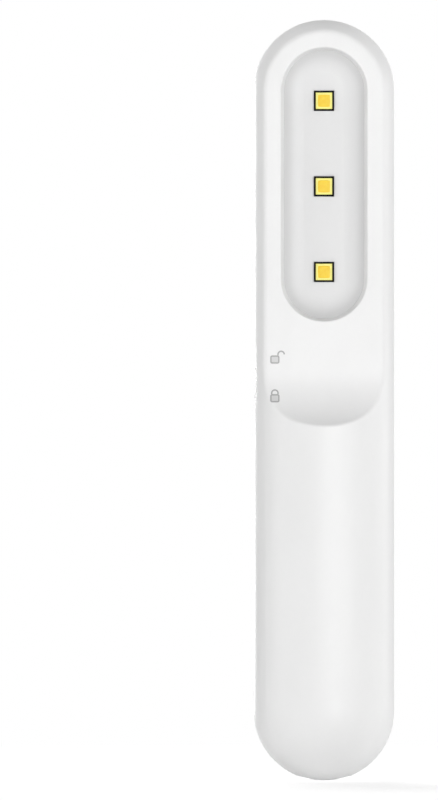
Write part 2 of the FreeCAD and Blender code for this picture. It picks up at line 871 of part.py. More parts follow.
def uv_led(step):
    """One UV lamp: a dark square base with its window set in."""
    height = "led_z + %d * led_pitch" % (1 - step)
    half = "led_size / 2"
    base = new_body("uv_led_base_%d" % (step + 1))
    sketch = sketch_on(base, "XZ_Plane")
    rectangle(sketch, (flipped(half), half), (flipped(half), half))
    pad(base, sketch, "led_height", reverse=True)
    seat = sketch_on(base, "XZ_Plane", "-led_height")
    rectangle(seat, ("-led_window_half", "led_window_half"), ("-led_window_half", "led_window_half"))
    pocket(base, seat, "led_seat_depth", reverse=True)
    window = new_body("uv_led_window_%d" % (step + 1))
    sketch = sketch_on(window, "XZ_Plane", "led_seat_depth - led_height")
    rectangle(sketch, ("-led_window_half", "led_window_half"), ("-led_window_half", "led_window_half"))
    pad(window, sketch, "led_seat_depth - led_window_drop", reverse=True)
    return [place(piece, y="led_board_front", z=height) for piece in (base, window)]


def board(name, x, z, front, thick, holes, reverse):
    """Circuit board from its front face, with screw holes."""
    body = new_body(name)
    sketch = sketch_on(body, "XZ_Plane", flipped(front))
    rectangle(sketch, x, z)
    pad(body, sketch, thick, reverse=reverse)
    bores = sketch_on(body, "XZ_Plane", flipped(front))
    for hole_x, hole_z in holes:
        circle(bores, hole_x, hole_z, "screw_hole_radius")
    pocket(body, bores, thick, reverse=not reverse)
    return body


def led_board():
    """Metal-cored board behind the reflector tray."""
    half = "led_board_width / 2"
    return board("led_board", (flipped(half), half), ("led_board_bottom", "led_board_top"),
                 "led_board_front", "led_board_thick", [("0", "led_post_z")], False)


def screw(name, grip, x, y, z, turn):
    """Self-tapping screw with a cross recess, its head on the face at y."""
    body = new_body(name)
    profile = sketch_on(body, "XZ_Plane")
    end = flipped(grip)
    outline(profile, [
        ("0", end), ("screw_radius / 2", end), ("screw_radius", "screw_radius - (%s)" % grip),
        ("screw_radius", "0"), ("screw_head_radius", "0"),
        ("screw_head_radius", "screw_head_height / 2"), ("screw_crown_radius", "screw_head_height"),
        ("0", "screw_head_height"),
    ])
    revolve(body, profile)
    recess = sketch_on(body, "XY_Plane", "screw_head_height")
    arm, thick = "screw_head_radius / 2", "screw_cross / 2"
    outline(recess, [
        (arm, flipped(thick)), (arm, thick), (thick, thick), (thick, arm), (flipped(thick), arm),
        (flipped(thick), thick), (flipped(arm), thick), (flipped(arm), flipped(thick)),
        (flipped(thick), flipped(thick)), (flipped(thick), flipped(arm)), (thick, flipped(arm)),
        (thick, flipped(thick)),
    ])
    pocket(body, recess, "screw_cross")
    return place(body, x, y, z, turn)


def led_board_screw():
    """Screw that holds the lamp board to the rear half."""
    grip = "led_board_thick + screw_grip"
    return screw("led_board_screw", grip, "0", "led_board_back", "led_post_z", AGAINST_Y)


# Main board and switches

def main_board():
    """Board behind the button."""
    return board("main_board", ("-main_half", "main_half"), ("main_bottom", "main_top"),
                 "main_front", "board_thick", main_post_places(), True)


def screw_group(name, places, y):
    """Equal screws through one board."""
    grip = "board_thick + screw_grip"
    return grouped(name, [screw(name + "_each", grip, x, y, z, ALONG_Y) for x, z in places])


def tact_switch_case():
    """Square case of the tact switch, with a well for its plunger."""
    body = new_body("tact_switch_case")
    half = "tact_size / 2"
    sketch = sketch_on(body, "XZ_Plane")
    rectangle(sketch, (flipped(half), half), (flipped(half), half))
    pad(body, sketch, "tact_height - tact_cover")
    well = sketch_on(body, "XZ_Plane", "tact_height - tact_cover")
    circle(well, "0", "0", "plunger_radius + plunger_gap")
    pocket(body, well, "plunger_hidden - tact_cover + button_travel + plunger_gap")
    return place(body, y="main_front", z="button_z")


def tact_switch_cover():
    """Thin metal cover of the tact switch with a round hole."""
    body = new_body("tact_switch_cover")
    half = "tact_size / 2"
    sketch = sketch_on(body, "XZ_Plane")
    rectangle(sketch, (flipped(half), half), (flipped(half), half))
    circle(sketch, "0", "0", "plunger_radius + plunger_gap")
    pad(body, sketch, "tact_cover", reverse=True)
    return place(body, y="tact_top", z="button_z")


def tact_switch_plunger():
    """Round plunger under the button's stem."""
    foot = "tact_top + plunger_hidden"
    return turned("tact_switch_plunger", [("0", "plunger_y"), ("plunger_radius", "plunger_y"),
                                          ("plunger_radius", foot), ("0", foot)], "button_z")


def slide_switch_case():
    """Case of the lock's slide switch, open to the side for its lever."""
    middle = "slide_length / 2"
    case = block("slide_case_blank", ("main_half - slide_depth", "main_half"),
                 ("main_back", "main_back + slide_height"), ("slider_z - " + middle, "slider_z + " + middle))
    height = "(lever_half_height + lever_gap)"
    reach = "(slider_travel / 2 + lever_half_length + lever_gap)"
    room = block("slide_case_room", ("main_half - lever_inside - lever_gap", "main_half + cut_over"),
                 ("lever_y - " + height, "lever_y + " + height),
                 ("slider_z - " + reach, "slider_z + " + reach))
    return less("slide_switch_case", case, room)


def slide_switch_lever():
    """Lever of the slide switch, between the prongs of the slider."""
    return block("slide_switch_lever", ("main_half - lever_inside", "lever_tip"),
                 ("lever_y - lever_half_height", "lever_y + lever_half_height"),
                 ("slider_rest_z - lever_half_length", "slider_rest_z + lever_half_length"))


def lock_slider():
    """Thumb slider of the lock at its lower place, with a cover plate behind the slot and two prongs."""
    blank = flank_window("slider_knob_blank", "slider_width / 2", "slider_length / 2", "slider_corner",
                         "slider_rest_z")
    knob = body_from("slider_knob", shared("slider_knob_flush", blank, touch_level))

    def on_knob_edge(point):
        flank = math.hypot(point.x - number("flank_centre"), point.y)
        return abs(flank - number("flank_radius - touch_inset")) < 1e-3

    soften(knob, edges_where(knob.Tip.Shape, on_knob_edge), "slider_round")
    side = "(slider_width / 2 + slider_gap + slider_overlap)"
    plate = shared("slider_plate", block(
        "slider_plate_blank", ("slider_inner", "half_width"), ("-" + side, side),
        ("slider_rest_z - slider_plate_half", "slider_rest_z + slider_plate_half")), slider_level)
    prongs = []
    near, far = "lever_half_length + lever_gap", "lever_half_length + lever_gap + prong_thick"
    for low, high in ((flipped(far), flipped(near)), (near, far)):
        prongs.append(block(
            "slider_prong", ("slider_inner - prong_length", "slider_inner + lever_gap"),
            ("lever_y - lever_half_height", "lever_y + lever_half_height"),
            ("slider_rest_z + " + low, "slider_rest_z + " + high)))
    whole = joined("slider_whole", [knob, plate] + prongs)
    grooves = []
    for step in (-2, -1, 0, 1, 2):
        height = "slider_rest_z + %d * slider_groove_pitch" % step
        grooves.append(rod("slider_groove", "slider_groove", ("-slider_width", "slider_width"),
                           "half_width - touch_inset", height))
    return less("lock_slider", whole, joined("slider_grooves", grooves))


# Cell, charging port and small parts

def battery_cell():
    """Round cell with a raised end contact."""
    body = new_body("battery_cell")
    sketch = sketch_on(body, "XZ_Plane")
    shoulder = "cell_top - cell_nub_height"
    outline(sketch, [
        ("0", "cell_bottom"), ("cell_radius - cell_edge", "cell_bottom"),
        ("cell_radius", "cell_bottom + cell_edge"), ("cell_radius", shoulder + " - cell_edge"),
        ("cell_radius - cell_edge", shoulder), ("cell_nub_radius", shoulder),
        ("cell_nub_radius", "cell_top"), ("0", "cell_top"),
    ])
    revolve(body, sketch)
    return body


def battery_tabs():
    """Flat metal strips welded to the cell's ends."""
    x = ("-tab_width / 2", "tab_width / 2")
    y = ("-tab_width / 2", "tab_length - tab_width / 2")
    top = block("battery_top_tab", x, y, ("cell_top", "cell_top + tab_thick"))
    bottom = block("battery_bottom_tab", x, y, ("cell_bottom - tab_thick", "cell_bottom"))
    return grouped("battery_tabs", [top, bottom])


def usb_port_shell():
    """Sheet metal shell of the charging port, open downward."""
    body = new_body("usb_port_shell")
    sketch = sketch_on(body, "XY_Plane", "port_mouth")
    rounded(sketch, "usb_width / 2", "usb_height / 2", "usb_corner")
    pad(body, sketch, "usb_length")
    hollow = sketch_on(body, "XY_Plane", "port_mouth")
    rounded(hollow, "usb_width / 2 - usb_sheet", "usb_height / 2 - usb_sheet", "usb_corner - usb_sheet")
    pocket(body, hollow, "usb_length - usb_back", reverse=True)
    return body


def usb_port_tongue():
    """Contact tongue in the middle of the charging port."""
    return block("usb_port_tongue", ("-tongue_width / 2", "tongue_width / 2"),
                 ("-tongue_thick / 2", "tongue_thick / 2"),
                 ("port_mouth + tongue_setback", "port_mouth + usb_length - usb_back"))


def charge_board():
    """Small board that carries the charging port."""
    half = "charge_width / 2"
    return board("charge_board", (flipped(half), half), ("charge_bottom", "charge_top"),
                 "charge_front", "board_thick", charge_post_places(), True)


def charge_chip():
    """Charging chip between the port and the cell."""
    middle = "charge_top - chip_inset"
    return block("charge_chip", ("-chip_length / 2", "chip_length / 2"),
                 ("charge_back", "charge_back + chip_height"),
                 (middle + " - chip_width / 2", middle + " + chip_width / 2"))


def driver_chip():
    """Lamp driver on the back of the main board."""
    middle = "button_z + driver_above_button"
    return block("driver_chip", ("-driver_length / 2", "driver_length / 2"),
                 ("main_back", "main_back + driver_height"),
                 (middle + " - driver_width / 2", middle + " + driver_width / 2"))


def boost_inductor():
    """Coil in a square case on the front of the main board."""
    middle = "button_z + inductor_above_button"
    half = "inductor_size / 2"
    return block("boost_inductor", (flipped(half), half), ("main_front - inductor_height", "main_front"),
                 ("%s - %s" % (middle, half), "%s + %s" % (middle, half)))


def capacitors():
    """Three small capacitors in a column on the back of the main board."""
    pieces = []
    for step in (0, 1, 2):
        middle = "button_z + capacitor_above_button + %d * capacitor_pitch" % step
        pieces.append(block("capacitor", ("-capacitor_length / 2", "capacitor_length / 2"),
                            ("main_back", "main_back + capacitor_height"),
                            (middle + " - capacitor_height / 2", middle + " + capacitor_height / 2")))
    return grouped("capacitors", pieces)


def indicator_led():
    """Small lamp under the light pipe."""
    half = "indicator_width / 2"
    return block("indicator_led", (flipped(half), half), ("main_front - indicator_height", "main_front"),
                 ("indicator_z - " + half, "indicator_z + " + half))


# Leads

def lead_shape(points):
    """Round wire along straight runs with arcs at the corners."""
    bend = number("lead_bend")
    radius = number("lead_radius")
    edges = []
    last = points[0]
    for before, corner, after in zip(points, points[1:], points[2:]):
        inward = (before - corner).normalize()
        onward = (after - corner).normalize()
        start = corner + inward * bend
        end = corner + onward * bend
        towards = (inward + onward).normalize()
        middle = corner + towards * bend * (math.sqrt(2) - 1)
        edges.append(Part.makeLine(last, start))
        edges.append(Part.Arc(start, middle, end).toShape())
        last = end
    edges.append(Part.makeLine(last, points[-1]))
    ring = Part.Wire(Part.makeCircle(radius, points[0], points[1] - points[0]))
    return Part.Wire(edges).makePipeShell([ring], True, False)


def lead(name, route):
    """Wire piece along corners given as expressions; each corner is square."""
    piece = doc.addObject("Part::Feature", name)
    piece.Shape = lead_shape([Vector(number(x), number(y), number(z)) for x, y, z in route])
    piece.Placement = Placement()
    return piece


def battery_leads():
    """Leads from the cell's tabs to the main board and to the charge board."""
    y = "tab_length / 2"
    above = "main_bottom + lead_edge * 3"
    below = "charge_top - lead_edge"
    top = lead("battery_top_lead", [("0", y, "cell_top + tab_thick"), ("0", y, above),
                                    ("0", "main_back", above)])
    bottom = lead("battery_bottom_lead", [("0", y, "cell_bottom - tab_thick"), ("0", y, below),
                                          ("0", "charge_back", below)])
    return grouped("battery_leads", [top, bottom])


def charge_leads():
    """Two leads along the plain flank from the charge board to the main board."""
    pieces = []
    height = "charge_top - lead_edge"
    flank = "-(half_width - wall - lead_wall_gap - lead_radius)"
    end = "lead_radius * 2 - main_half"
    low = "slider_z - charge_lead_drop"
    high = low + " + charge_lead_spacing"
    starts = (("-lead_radius * 4", "lead_radius * 3", low), ("-lead_radius * 7", "lead_radius / 3", high))
    for x, y, top in starts:
        pieces.append(lead("charge_lead", [
            (x, "charge_back", height), (x, y, height), (flank, y, height), (flank, y, top),
            (end, y, top), (end, "main_back", top),
        ]))
    return grouped("charge_leads", pieces)


def led_leads():
    """Two leads from the main board to the lamp board."""
    pieces = []
    middle = "(main_back + led_board_back) / 2"
    low = "led_post_z + post_radius + lead_edge * 3"
    high = "button_z + capacitor_above_button + capacitor_pitch"
    for x in ("-led_lead_x", "led_lead_x"):
        pieces.append(lead("led_lead", [(x, "main_back", high), (x, middle, high), (x, middle, low),
                                        (x, "led_board_back", low)]))
    return grouped("led_leads", pieces)


# Assembly

outside = outer_casing()
seam_level = casing_form("seam_level", "seam_depth")
touch_level = casing_form("touch_level", "touch_inset")
lip_outside = casing_form("lip_outside", "mid_wall + lip_gap / 2")
mid_level = casing_form("mid_level", "mid_wall - lip_gap / 2")
cavity = casing_form("cavity", "wall")
slider_level = casing_form("slider_level", "wall + slider_wall_gap")
front_half = slab("front_half", "-body_depth", "0")
rear_half = slab("rear_half", "0", "body_depth")
seam_slab = slab("seam_slab", "-seam_width / 2", "seam_width / 2")
seam = less("seam_groove", shared("seam_band", outside, seam_slab), seam_level)
slot = flank_window("slider_slot", "slider_width / 2 + slider_gap", "slot_half", "slider_corner + slider_gap",
                    "slider_z")
cell_room = upright_rod("cell_room", "cell_radius + cell_clearance", ("cell_bottom", "cell_top"))
shared_openings = [seam, port_space(), cell_room]

PIECES = [front_shell(), rear_shell(), button_ring(), power_button(), indicator_light_pipe(), lock_slider()]
PIECES += [reflector_tray(), led_board(), led_board_screw()]
for lamp in range(3):
    PIECES += uv_led(lamp)
PIECES += [main_board(), screw_group("main_board_screws", main_post_places(), "main_back")]
PIECES += [tact_switch_case(), tact_switch_cover(), tact_switch_plunger()]
PIECES += [slide_switch_case(), slide_switch_lever()]
PIECES += [indicator_led(), driver_chip(), boost_inductor(), capacitors()]
PIECES += [charge_board(), screw_group("charge_board_screws", charge_post_places(), "charge_back")]
PIECES += [charge_chip(), usb_port_shell(), usb_port_tongue(), battery_cell(), battery_tabs()]
PIECES += [battery_leads(), charge_leads(), led_leads()]
doc.recompute()

for item in doc.Objects:
    if "Invalid" in item.State or "Error" in item.State:
        raise RuntimeError("%s did not compute: %s" % (item.Name, item.State))
os.makedirs("parts", exist_ok=True)
for piece in PIECES:
    if piece.Shape.isNull() or not piece.Shape.isValid():
        raise RuntimeError("%s is not a sound solid" % piece.Label)
    piece.Shape.exportStep("parts/%s.step" % piece.Label)
    print(piece.Label, len(piece.Shape.Solids), round(piece.Shape.Volume, 1))
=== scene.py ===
"""Looks of the handheld UV wand: finishes, printed signs, lamp dies, port contacts and a plain studio.

Lengths are in metres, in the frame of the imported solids: X across the wand, Y through it with the button
at -Y and the lamps at +Y, Z along it with the lamp head up.
"""
import logging
import math
from dataclasses import dataclass
from enum import Enum
from functools import partial
from typing import Any, Callable, Mapping, Sequence, Union

import bpy
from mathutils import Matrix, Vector
from mathutils.bvhtree import BVHTree


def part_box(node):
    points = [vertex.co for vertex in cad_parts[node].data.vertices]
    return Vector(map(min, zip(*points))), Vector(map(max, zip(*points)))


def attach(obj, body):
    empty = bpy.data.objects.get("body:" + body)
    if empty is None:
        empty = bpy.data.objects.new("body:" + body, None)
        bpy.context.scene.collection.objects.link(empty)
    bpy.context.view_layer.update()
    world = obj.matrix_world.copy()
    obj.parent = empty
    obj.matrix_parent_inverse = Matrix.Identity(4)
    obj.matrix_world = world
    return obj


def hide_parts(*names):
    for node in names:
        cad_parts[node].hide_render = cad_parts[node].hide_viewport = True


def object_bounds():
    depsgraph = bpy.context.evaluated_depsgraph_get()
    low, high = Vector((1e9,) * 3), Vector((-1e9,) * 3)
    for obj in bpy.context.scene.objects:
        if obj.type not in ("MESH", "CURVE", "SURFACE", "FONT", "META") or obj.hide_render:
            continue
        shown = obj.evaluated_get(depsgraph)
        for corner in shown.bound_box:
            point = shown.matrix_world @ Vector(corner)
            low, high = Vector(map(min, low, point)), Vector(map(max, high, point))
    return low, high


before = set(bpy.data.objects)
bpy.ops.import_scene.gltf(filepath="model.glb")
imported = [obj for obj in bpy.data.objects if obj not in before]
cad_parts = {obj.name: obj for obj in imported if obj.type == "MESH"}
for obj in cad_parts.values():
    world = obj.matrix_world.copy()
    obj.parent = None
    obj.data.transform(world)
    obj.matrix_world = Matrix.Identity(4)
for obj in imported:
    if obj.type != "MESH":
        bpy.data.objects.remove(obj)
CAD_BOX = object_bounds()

MM = 0.001
SHARP_ANGLE = math.radians(40)
NOISE_DECAY = 0.55
CORNER_STEPS = 6
LOG = logging.getLogger("uv_wand")

Colour = tuple[float, float, float, float]
Point = tuple[float, float]
Spot = tuple[float, float, float]
Face = tuple[int, ...]
Operand = Union["Signal", float, Sequence[float]]
Sockets = Mapping[str | int, Operand]


class Body(Enum):
    """Bodies of the wand that pieces ride on."""

    CASING = "casing"
    BUTTON = "button"


class Facing(Enum):
    """Side of the wand that a sign is printed on, as the direction it looks to."""

    BUTTON_SIDE = (0.0, -1.0, 0.0)
    LAMP_SIDE = (0.0, 1.0, 0.0)


def opaque(red: float, green: float, blue: float) -> Colour:
    """Colour with full alpha."""
    return (red, green, blue, 1.0)


def grey(level: float) -> Colour:
    """Neutral colour of a given lightness."""
    return opaque(level, level, level)


def shaded(colour: Colour, factor: float) -> Colour:
    """The same colour, lighter or darker by a factor."""
    return opaque(*(min(channel * factor, 1.0) for channel in colour[:3]))


WHITE = grey(1.0)
BLACK = grey(0.0)


# Shader expressions


class Signal:
    """Output socket of a node tree that takes part in Python expressions."""

    def __init__(self, graph: "Graph", socket: bpy.types.NodeSocket) -> None:
        """Keep the socket and the tree it belongs to."""
        self.graph = graph
        self.socket = socket

    def __add__(self, other: Operand) -> "Signal":
        """Sum."""
        return self.graph.math("ADD", self, other)

    def __radd__(self, other: Operand) -> "Signal":
        """Sum with a number on the left."""
        return self.graph.math("ADD", other, self)

    def __sub__(self, other: Operand) -> "Signal":
        """Difference."""
        return self.graph.math("SUBTRACT", self, other)

    def __rsub__(self, other: Operand) -> "Signal":
        """Difference from a number on the left."""
        return self.graph.math("SUBTRACT", other, self)

    def __mul__(self, other: Operand) -> "Signal":
        """Product."""
        return self.graph.math("MULTIPLY", self, other)

    def __rmul__(self, other: Operand) -> "Signal":
        """Product with a number on the left."""
        return self.graph.math("MULTIPLY", other, self)

    def __lt__(self, other: Operand) -> "Signal":
        """1 where smaller, else 0."""
        return self.graph.math("LESS_THAN", self, other)

    def __abs__(self) -> "Signal":
        """Absolute value."""
        return self.graph.math("ABSOLUTE", self)

    def at_most(self, other: Operand) -> "Signal":
        """Smaller of two values."""
        return self.graph.math("MINIMUM", self, other)

    def at_least(self, other: Operand) -> "Signal":
        """Larger of two values."""
        return self.graph.math("MAXIMUM", self, other)

    def ramp(self, low: float, high: float) -> "Signal":
        """Smooth step from 0 at low to 1 at high.

        Args:
            low: Value where the step starts.
            high: Value where the step ends.

        Returns:
            The stepped value.
        """
        settings = {"interpolation_type": "SMOOTHSTEP"}
        inputs = {"Value": self, "From Min": low, "From Max": high}
        return self.graph.signal("ShaderNodeMapRange", settings, inputs, "Result")


@dataclass(frozen=True)
class Cloud:
    """Cloudy noise."""

    size: float
    detail: float = 2.0  # number of finer layers
    stretch: Spot | None = None  # scale of the pattern along each axis
    band: Point | None = None  # values that are stepped to 0 and to 1


@dataclass(frozen=True)
class Relief:
    """Fine height of a surface."""

    depth: float  # height of a full step
    strength: float  # share of the effect


class Graph:
    """Node tree of one material or of the world."""

    def __init__(self, tree: bpy.types.NodeTree) -> None:
        """Start from an empty tree."""
        self.tree = tree
        tree.nodes.clear()

    @classmethod
    def of_material(cls, name: str) -> tuple[bpy.types.Material, "Graph"]:
        """New material with an empty tree.

        Args:
            name: Name of the material.

        Returns:
            The material and its graph.
        """
        material = bpy.data.materials.new(name)
        material.use_nodes = True
        return material, cls(material.node_tree)

    def add(
        self,
        kind: str,
        settings: Mapping[str, Any] | None = None,
        inputs: Sockets | None = None,
    ) -> bpy.types.Node:
        """Add one node.

        Args:
            kind: Type of the node.
            settings: Properties of the node, set before its sockets.
            inputs: Values or signals of the input sockets, by name or number.

        Returns:
            The new node.
        """
        node = self.tree.nodes.new(kind)
        for key, value in (settings or {}).items():
            setattr(node, key, value)
        for key, value in (inputs or {}).items():
            if isinstance(value, Signal):
                self.tree.links.new(value.socket, node.inputs[key])
            else:
                node.inputs[key].default_value = value
        return node

    def signal(
        self,
        kind: str,
        settings: Mapping[str, Any] | None,
        inputs: Sockets | None,
        output: str | int = 0,
    ) -> Signal:
        """Add one node and take one of its outputs.

        Args:
            kind: Type of the node.
            settings: Properties of the node.
            inputs: Values or signals of the input sockets.
            output: Name or number of the output socket.

        Returns:
            The output as a signal.
        """
        return Signal(self, self.add(kind, settings, inputs).outputs[output])

    def math(self, operation: str, first: Operand, second: Operand = 0.0) -> Signal:
        """Math node on one or two values."""
        return self.signal("ShaderNodeMath", {"operation": operation}, {0: first, 1: second})

    def blend(self, factor: Operand, low: Operand, high: Operand) -> Signal:
        """Mix of two colours by a factor."""
        inputs = {0: factor, 6: low, 7: high}
        return self.signal("ShaderNodeMix", {"data_type": "RGBA"}, inputs, 2)

    def lerp(self, factor: Operand, low: Signal, high: Signal) -> Signal:
        """Mix of two vectors by a factor."""
        inputs = {0: factor, 4: low, 5: high}
        return self.signal("ShaderNodeMix", {"data_type": "VECTOR"}, inputs, 1)

    def hypot(self, first: Signal, second: Signal) -> Signal:
        """Length of a step along two axes."""
        return self.math("SQRT", first * first + second * second)

    def stretched(self, vector: Signal, scale: Sequence[float]) -> Signal:
        """Vector with each axis scaled by its own number."""
        return self.signal("ShaderNodeVectorMath", {"operation": "MULTIPLY"}, {0: vector, 1: scale})

    def shifted(self, vector: Signal, offset: Operand) -> Signal:
        """Vector measured from another point."""
        return self.signal("ShaderNodeVectorMath", {"operation": "SUBTRACT"}, {0: vector, 1: offset})

    def place(self) -> Signal:
        """Place on the piece, in the frame of the wand at rest."""
        return self.signal("ShaderNodeTexCoord", None, None, "Object")

    def axes(self, vector: Signal) -> tuple[Signal, Signal, Signal]:
        """The three parts of a vector."""
        x, y, z = self.add("ShaderNodeSeparateXYZ", None, {0: vector}).outputs
        return Signal(self, x), Signal(self, y), Signal(self, z)

    def away(self, place: Signal, centre: Point) -> Signal:
        """Distance from a line that runs straight through the wand."""
        across, _, along = self.axes(self.shifted(place, (centre[0], 0.0, centre[1])))
        return self.hypot(across, along)

    def noise(self, place: Signal, cloud: Cloud) -> Signal:
        """Cloudy noise.

        Args:
            place: Where the noise is read.
            cloud: Its size and form.

        Returns:
            Values about 0.5, or from 0 to 1 where the cloud has a band.
        """
        vector = self.stretched(place, cloud.stretch) if cloud.stretch else place
        form = {"Scale": 1.0 / cloud.size, "Detail": cloud.detail, "Roughness": NOISE_DECAY}
        value = self.signal("ShaderNodeTexNoise", {"noise_dimensions": "3D"}, {"Vector": vector, **form}, 0)
        return value.ramp(*cloud.band) if cloud.band else value

    def cells(self, vector: Signal, size: float) -> Signal:
        """Distance to the nearest of scattered points, for grains of a given size."""
        inputs = {"Vector": vector, "Scale": 1.0 / size}
        return self.signal("ShaderNodeTexVoronoi", {"feature": "F1"}, inputs, "Distance")

    def own_normal(self) -> Signal:
        """Normal of the surface itself."""
        return self.signal("ShaderNodeNewGeometry", None, None, "Normal")

    def bump(self, height: Signal, relief: Relief, normal: Signal) -> Signal:
        """Normal from a height.

        Args:
            height: Height from 0 to 1.
            relief: Depth and strength of the effect.
            normal: Normal to bend.

        Returns:
            The bent normal.
        """
        inputs = {
            "Strength": relief.strength,
            "Distance": relief.depth,
            "Height": height,
            "Normal": normal,
        }
        return self.signal("ShaderNodeBump", None, inputs, 0)

    def surface(self, inputs: Sockets) -> None:
        """Principled surface to the output.

        Args:
            inputs: Values or signals of the shader's sockets.
        """
        shader = self.signal("ShaderNodeBsdfPrincipled", None, inputs, 0)
        self.add("ShaderNodeOutputMaterial", None, {"Surface": shader})


# Finishes


CASING_WHITE = opaque(0.866, 0.866, 0.864)
CROWN_RADIUS = 13.35 * MM
CROWN_CENTRE = 3.55 * MM
Look = tuple[Signal, Signal, Signal]


@dataclass(frozen=True)
class Finish:
    """Finish of a surface, from its colour, its sheen and a fine relief."""

    name: str
    colour: Colour
    roughness: float = 0.5
    relief: Relief = Relief(0.005 * MM, 0.5)
    specular: float = 0.5
    metallic: float = 0.0
    shine: float = 0.0  # strength of the light that leaves the surface

    def build(self) -> bpy.types.Material:
        """Make the material.

        Returns:
            The material.
        """
        material, graph = Graph.of_material(self.name)
        place = graph.place()
        colour, matt, height = self.look(graph, place)
        sockets = {
            "Base Color": colour,
            "Metallic": self.metallic,
            "Roughness": self.roughness + matt,
            "Normal": graph.bump(height, self.relief, self.leaning(graph, place)),
            "Specular IOR Level": self.specular,
        }
        if self.shine:
            sockets |= {"Emission Color": colour, "Emission Strength": self.shine}
        graph.surface(sockets)
        return material

    def look(self, graph: Graph, place: Signal) -> Look:
        """Colour, added roughness and height of the relief."""
        raise NotImplementedError

    def leaning(self, graph: Graph, place: Signal) -> Signal:
        """Normal under the relief, that of the surface."""
        return graph.own_normal()


@dataclass(frozen=True)
class MouldedPlastic(Finish):
    """Injection-moulded plastic with an eroded grain and a faint drift of tone."""

    specular: float = 0.35
    grain: float = 0.16 * MM
    pit_share: float = 0.6  # of the grain, the rest being swells
    swell: float = 3.0  # in grains
    drift: float = 0.015  # share by which the tone drifts
    drift_band: Point = (0.25, 0.75)
    flow: Cloud = Cloud(9 * MM, 3.0, (1.0, 1.0, 0.35))
    flow_share: float = 0.8  # of the drift, the rest being specks
    speck: Cloud = Cloud(0.45 * MM, 1.0)
    handled: Cloud = Cloud(5 * MM, band=(0.35, 0.7))
    wear: float = 0.05  # roughness that grain adds and handling takes away

    def look(self, graph: Graph, place: Signal) -> Look:
        """Drifting tone, and a grain that handling has smoothed.

        Args:
            graph: Node tree of the material.
            place: Place on the piece.

        Returns:
            Colour, added roughness and height.
        """
        flow = graph.noise(place, self.flow)
        speck = graph.noise(place, self.speck)
        tone = (self.flow_share * flow + (1.0 - self.flow_share) * speck).ramp(*self.drift_band)
        dark, light = shaded(self.colour, 1.0 - self.drift), shaded(self.colour, 1.0 + self.drift)
        colour = self.tinted(graph, place, graph.blend(tone, dark, light))
        swells = graph.noise(place, Cloud(self.swell * self.grain))
        grain = self.pit_share * graph.cells(place, self.grain) + (1.0 - self.pit_share) * swells
        return colour, self.wear * grain - self.wear * graph.noise(place, self.handled), grain

    def tinted(self, graph: Graph, place: Signal, colour: Signal) -> Signal:
        """Colour of the plastic, the same all over."""
        return colour


@dataclass(frozen=True)
class ShellPlastic(MouldedPlastic):
    """Plastic of a casing half, shaded as one even crown around the poles of its end domes."""

    axis: float = 0.0  # of the crown, through the wand
    dome: float = 53.0 * MM  # height where the end domes start
    pole: float = 2.0 * MM  # radius of the even patch
    pole_core: float = 0.6  # share of that radius that is wholly even

    def leaning(self, graph: Graph, place: Signal) -> Signal:
        """Normal of the crown near the poles, and of the surface elsewhere.

        Args:
            graph: Node tree of the material.
            place: Place on the shell.

        Returns:
            The normal.
        """
        across, _, along = graph.axes(place)
        spine = along.at_most(self.dome).at_least(-self.dome)
        foot = graph.signal("ShaderNodeCombineXYZ", None, {0: 0.0, 1: self.axis, 2: spine})
        settings = {"vector_type": "NORMAL", "convert_from": "OBJECT", "convert_to": "WORLD"}
        outward = graph.signal("ShaderNodeVectorTransform", settings, {0: graph.shifted(place, foot)})
        crown = graph.signal("ShaderNodeVectorMath", {"operation": "NORMALIZE"}, {0: outward})
        away = graph.hypot(across, abs(along) - self.dome)
        even = 1.0 - away.ramp(self.pole_core * self.pole, self.pole)
        return graph.lerp(even, graph.own_normal(), crown)


@dataclass(frozen=True)
class HeadPlastic(ShellPlastic):
    """Plastic of the lamp side's half, with the rim of its flat head softened."""

    rim: float = 8.3 * MM  # from the wand's long axis
    rim_round: float = 1.0 * MM
    rim_level: float = 2.0 * MM  # through the wand
    head: float = -1.0 * MM  # height where the softening starts
    fade: float = 0.8 * MM
    rays: int = 8

    def leaning(self, graph: Graph, place: Signal) -> Signal:
        """Normal of the shell, rounded over at the rim.

        Args:
            graph: Node tree of the material.
            place: Place on the shell.

        Returns:
            The normal.
        """
        across, through, along = graph.axes(place)
        reach = graph.hypot(across, (along - self.dome).at_least(0.0))
        starts = ((reach, self.rim), (through, self.rim_level), (along, self.head))
        beyond, above, up = (value.ramp(start, start + self.fade) for value, start in starts)
        soft = graph.signal("ShaderNodeBevel", {"samples": self.rays}, {"Radius": self.rim_round})
        return graph.lerp(beyond * above * up, super().leaning(graph, place), soft)


@dataclass(frozen=True)
class LitPlastic(ShellPlastic):
    """Plastic of the button side's half, with the glow of a small light painted into its colour."""

    # painted glow of the light shining through: its colour, share and place
    glow: Colour = WHITE
    glow_share: float = 0.6
    light: Point = (0.0, 0.0)
    reach: float = 1.0 * MM
    core: float = 0.3  # share of the reach where the glow is full

    def tinted(self, graph: Graph, place: Signal, colour: Signal) -> Signal:
        """Colour with the painted glow around the light, on the button side only.

        Args:
            graph: Node tree of the material.
            place: Place on the shell.
            colour: Colour without the glow.

        Returns:
            The colour.
        """
        _, through, _ = graph.axes(place)
        far = graph.away(place, self.light).ramp(self.core * self.reach, self.reach)
        return graph.blend(self.glow_share * ((1.0 - far) * (through < 0.0)), colour, self.glow)


@dataclass(frozen=True)
class DishPlastic(MouldedPlastic):
    """Moulded plastic of a dish, with painted shade that darkens it towards its rim."""

    floor: float = 0.0
    rim: float = 1.0
    # painted shade: share of the colour that is left at the rim
    painted_rim_shade: float = 0.83

    def tinted(self, graph: Graph, place: Signal, colour: Signal) -> Signal:
        """Colour with the painted shade towards the rim."""
        _, level, _ = graph.axes(place)
        return graph.blend(level.ramp(self.floor, self.rim), colour, shaded(self.colour, self.painted_rim_shade))


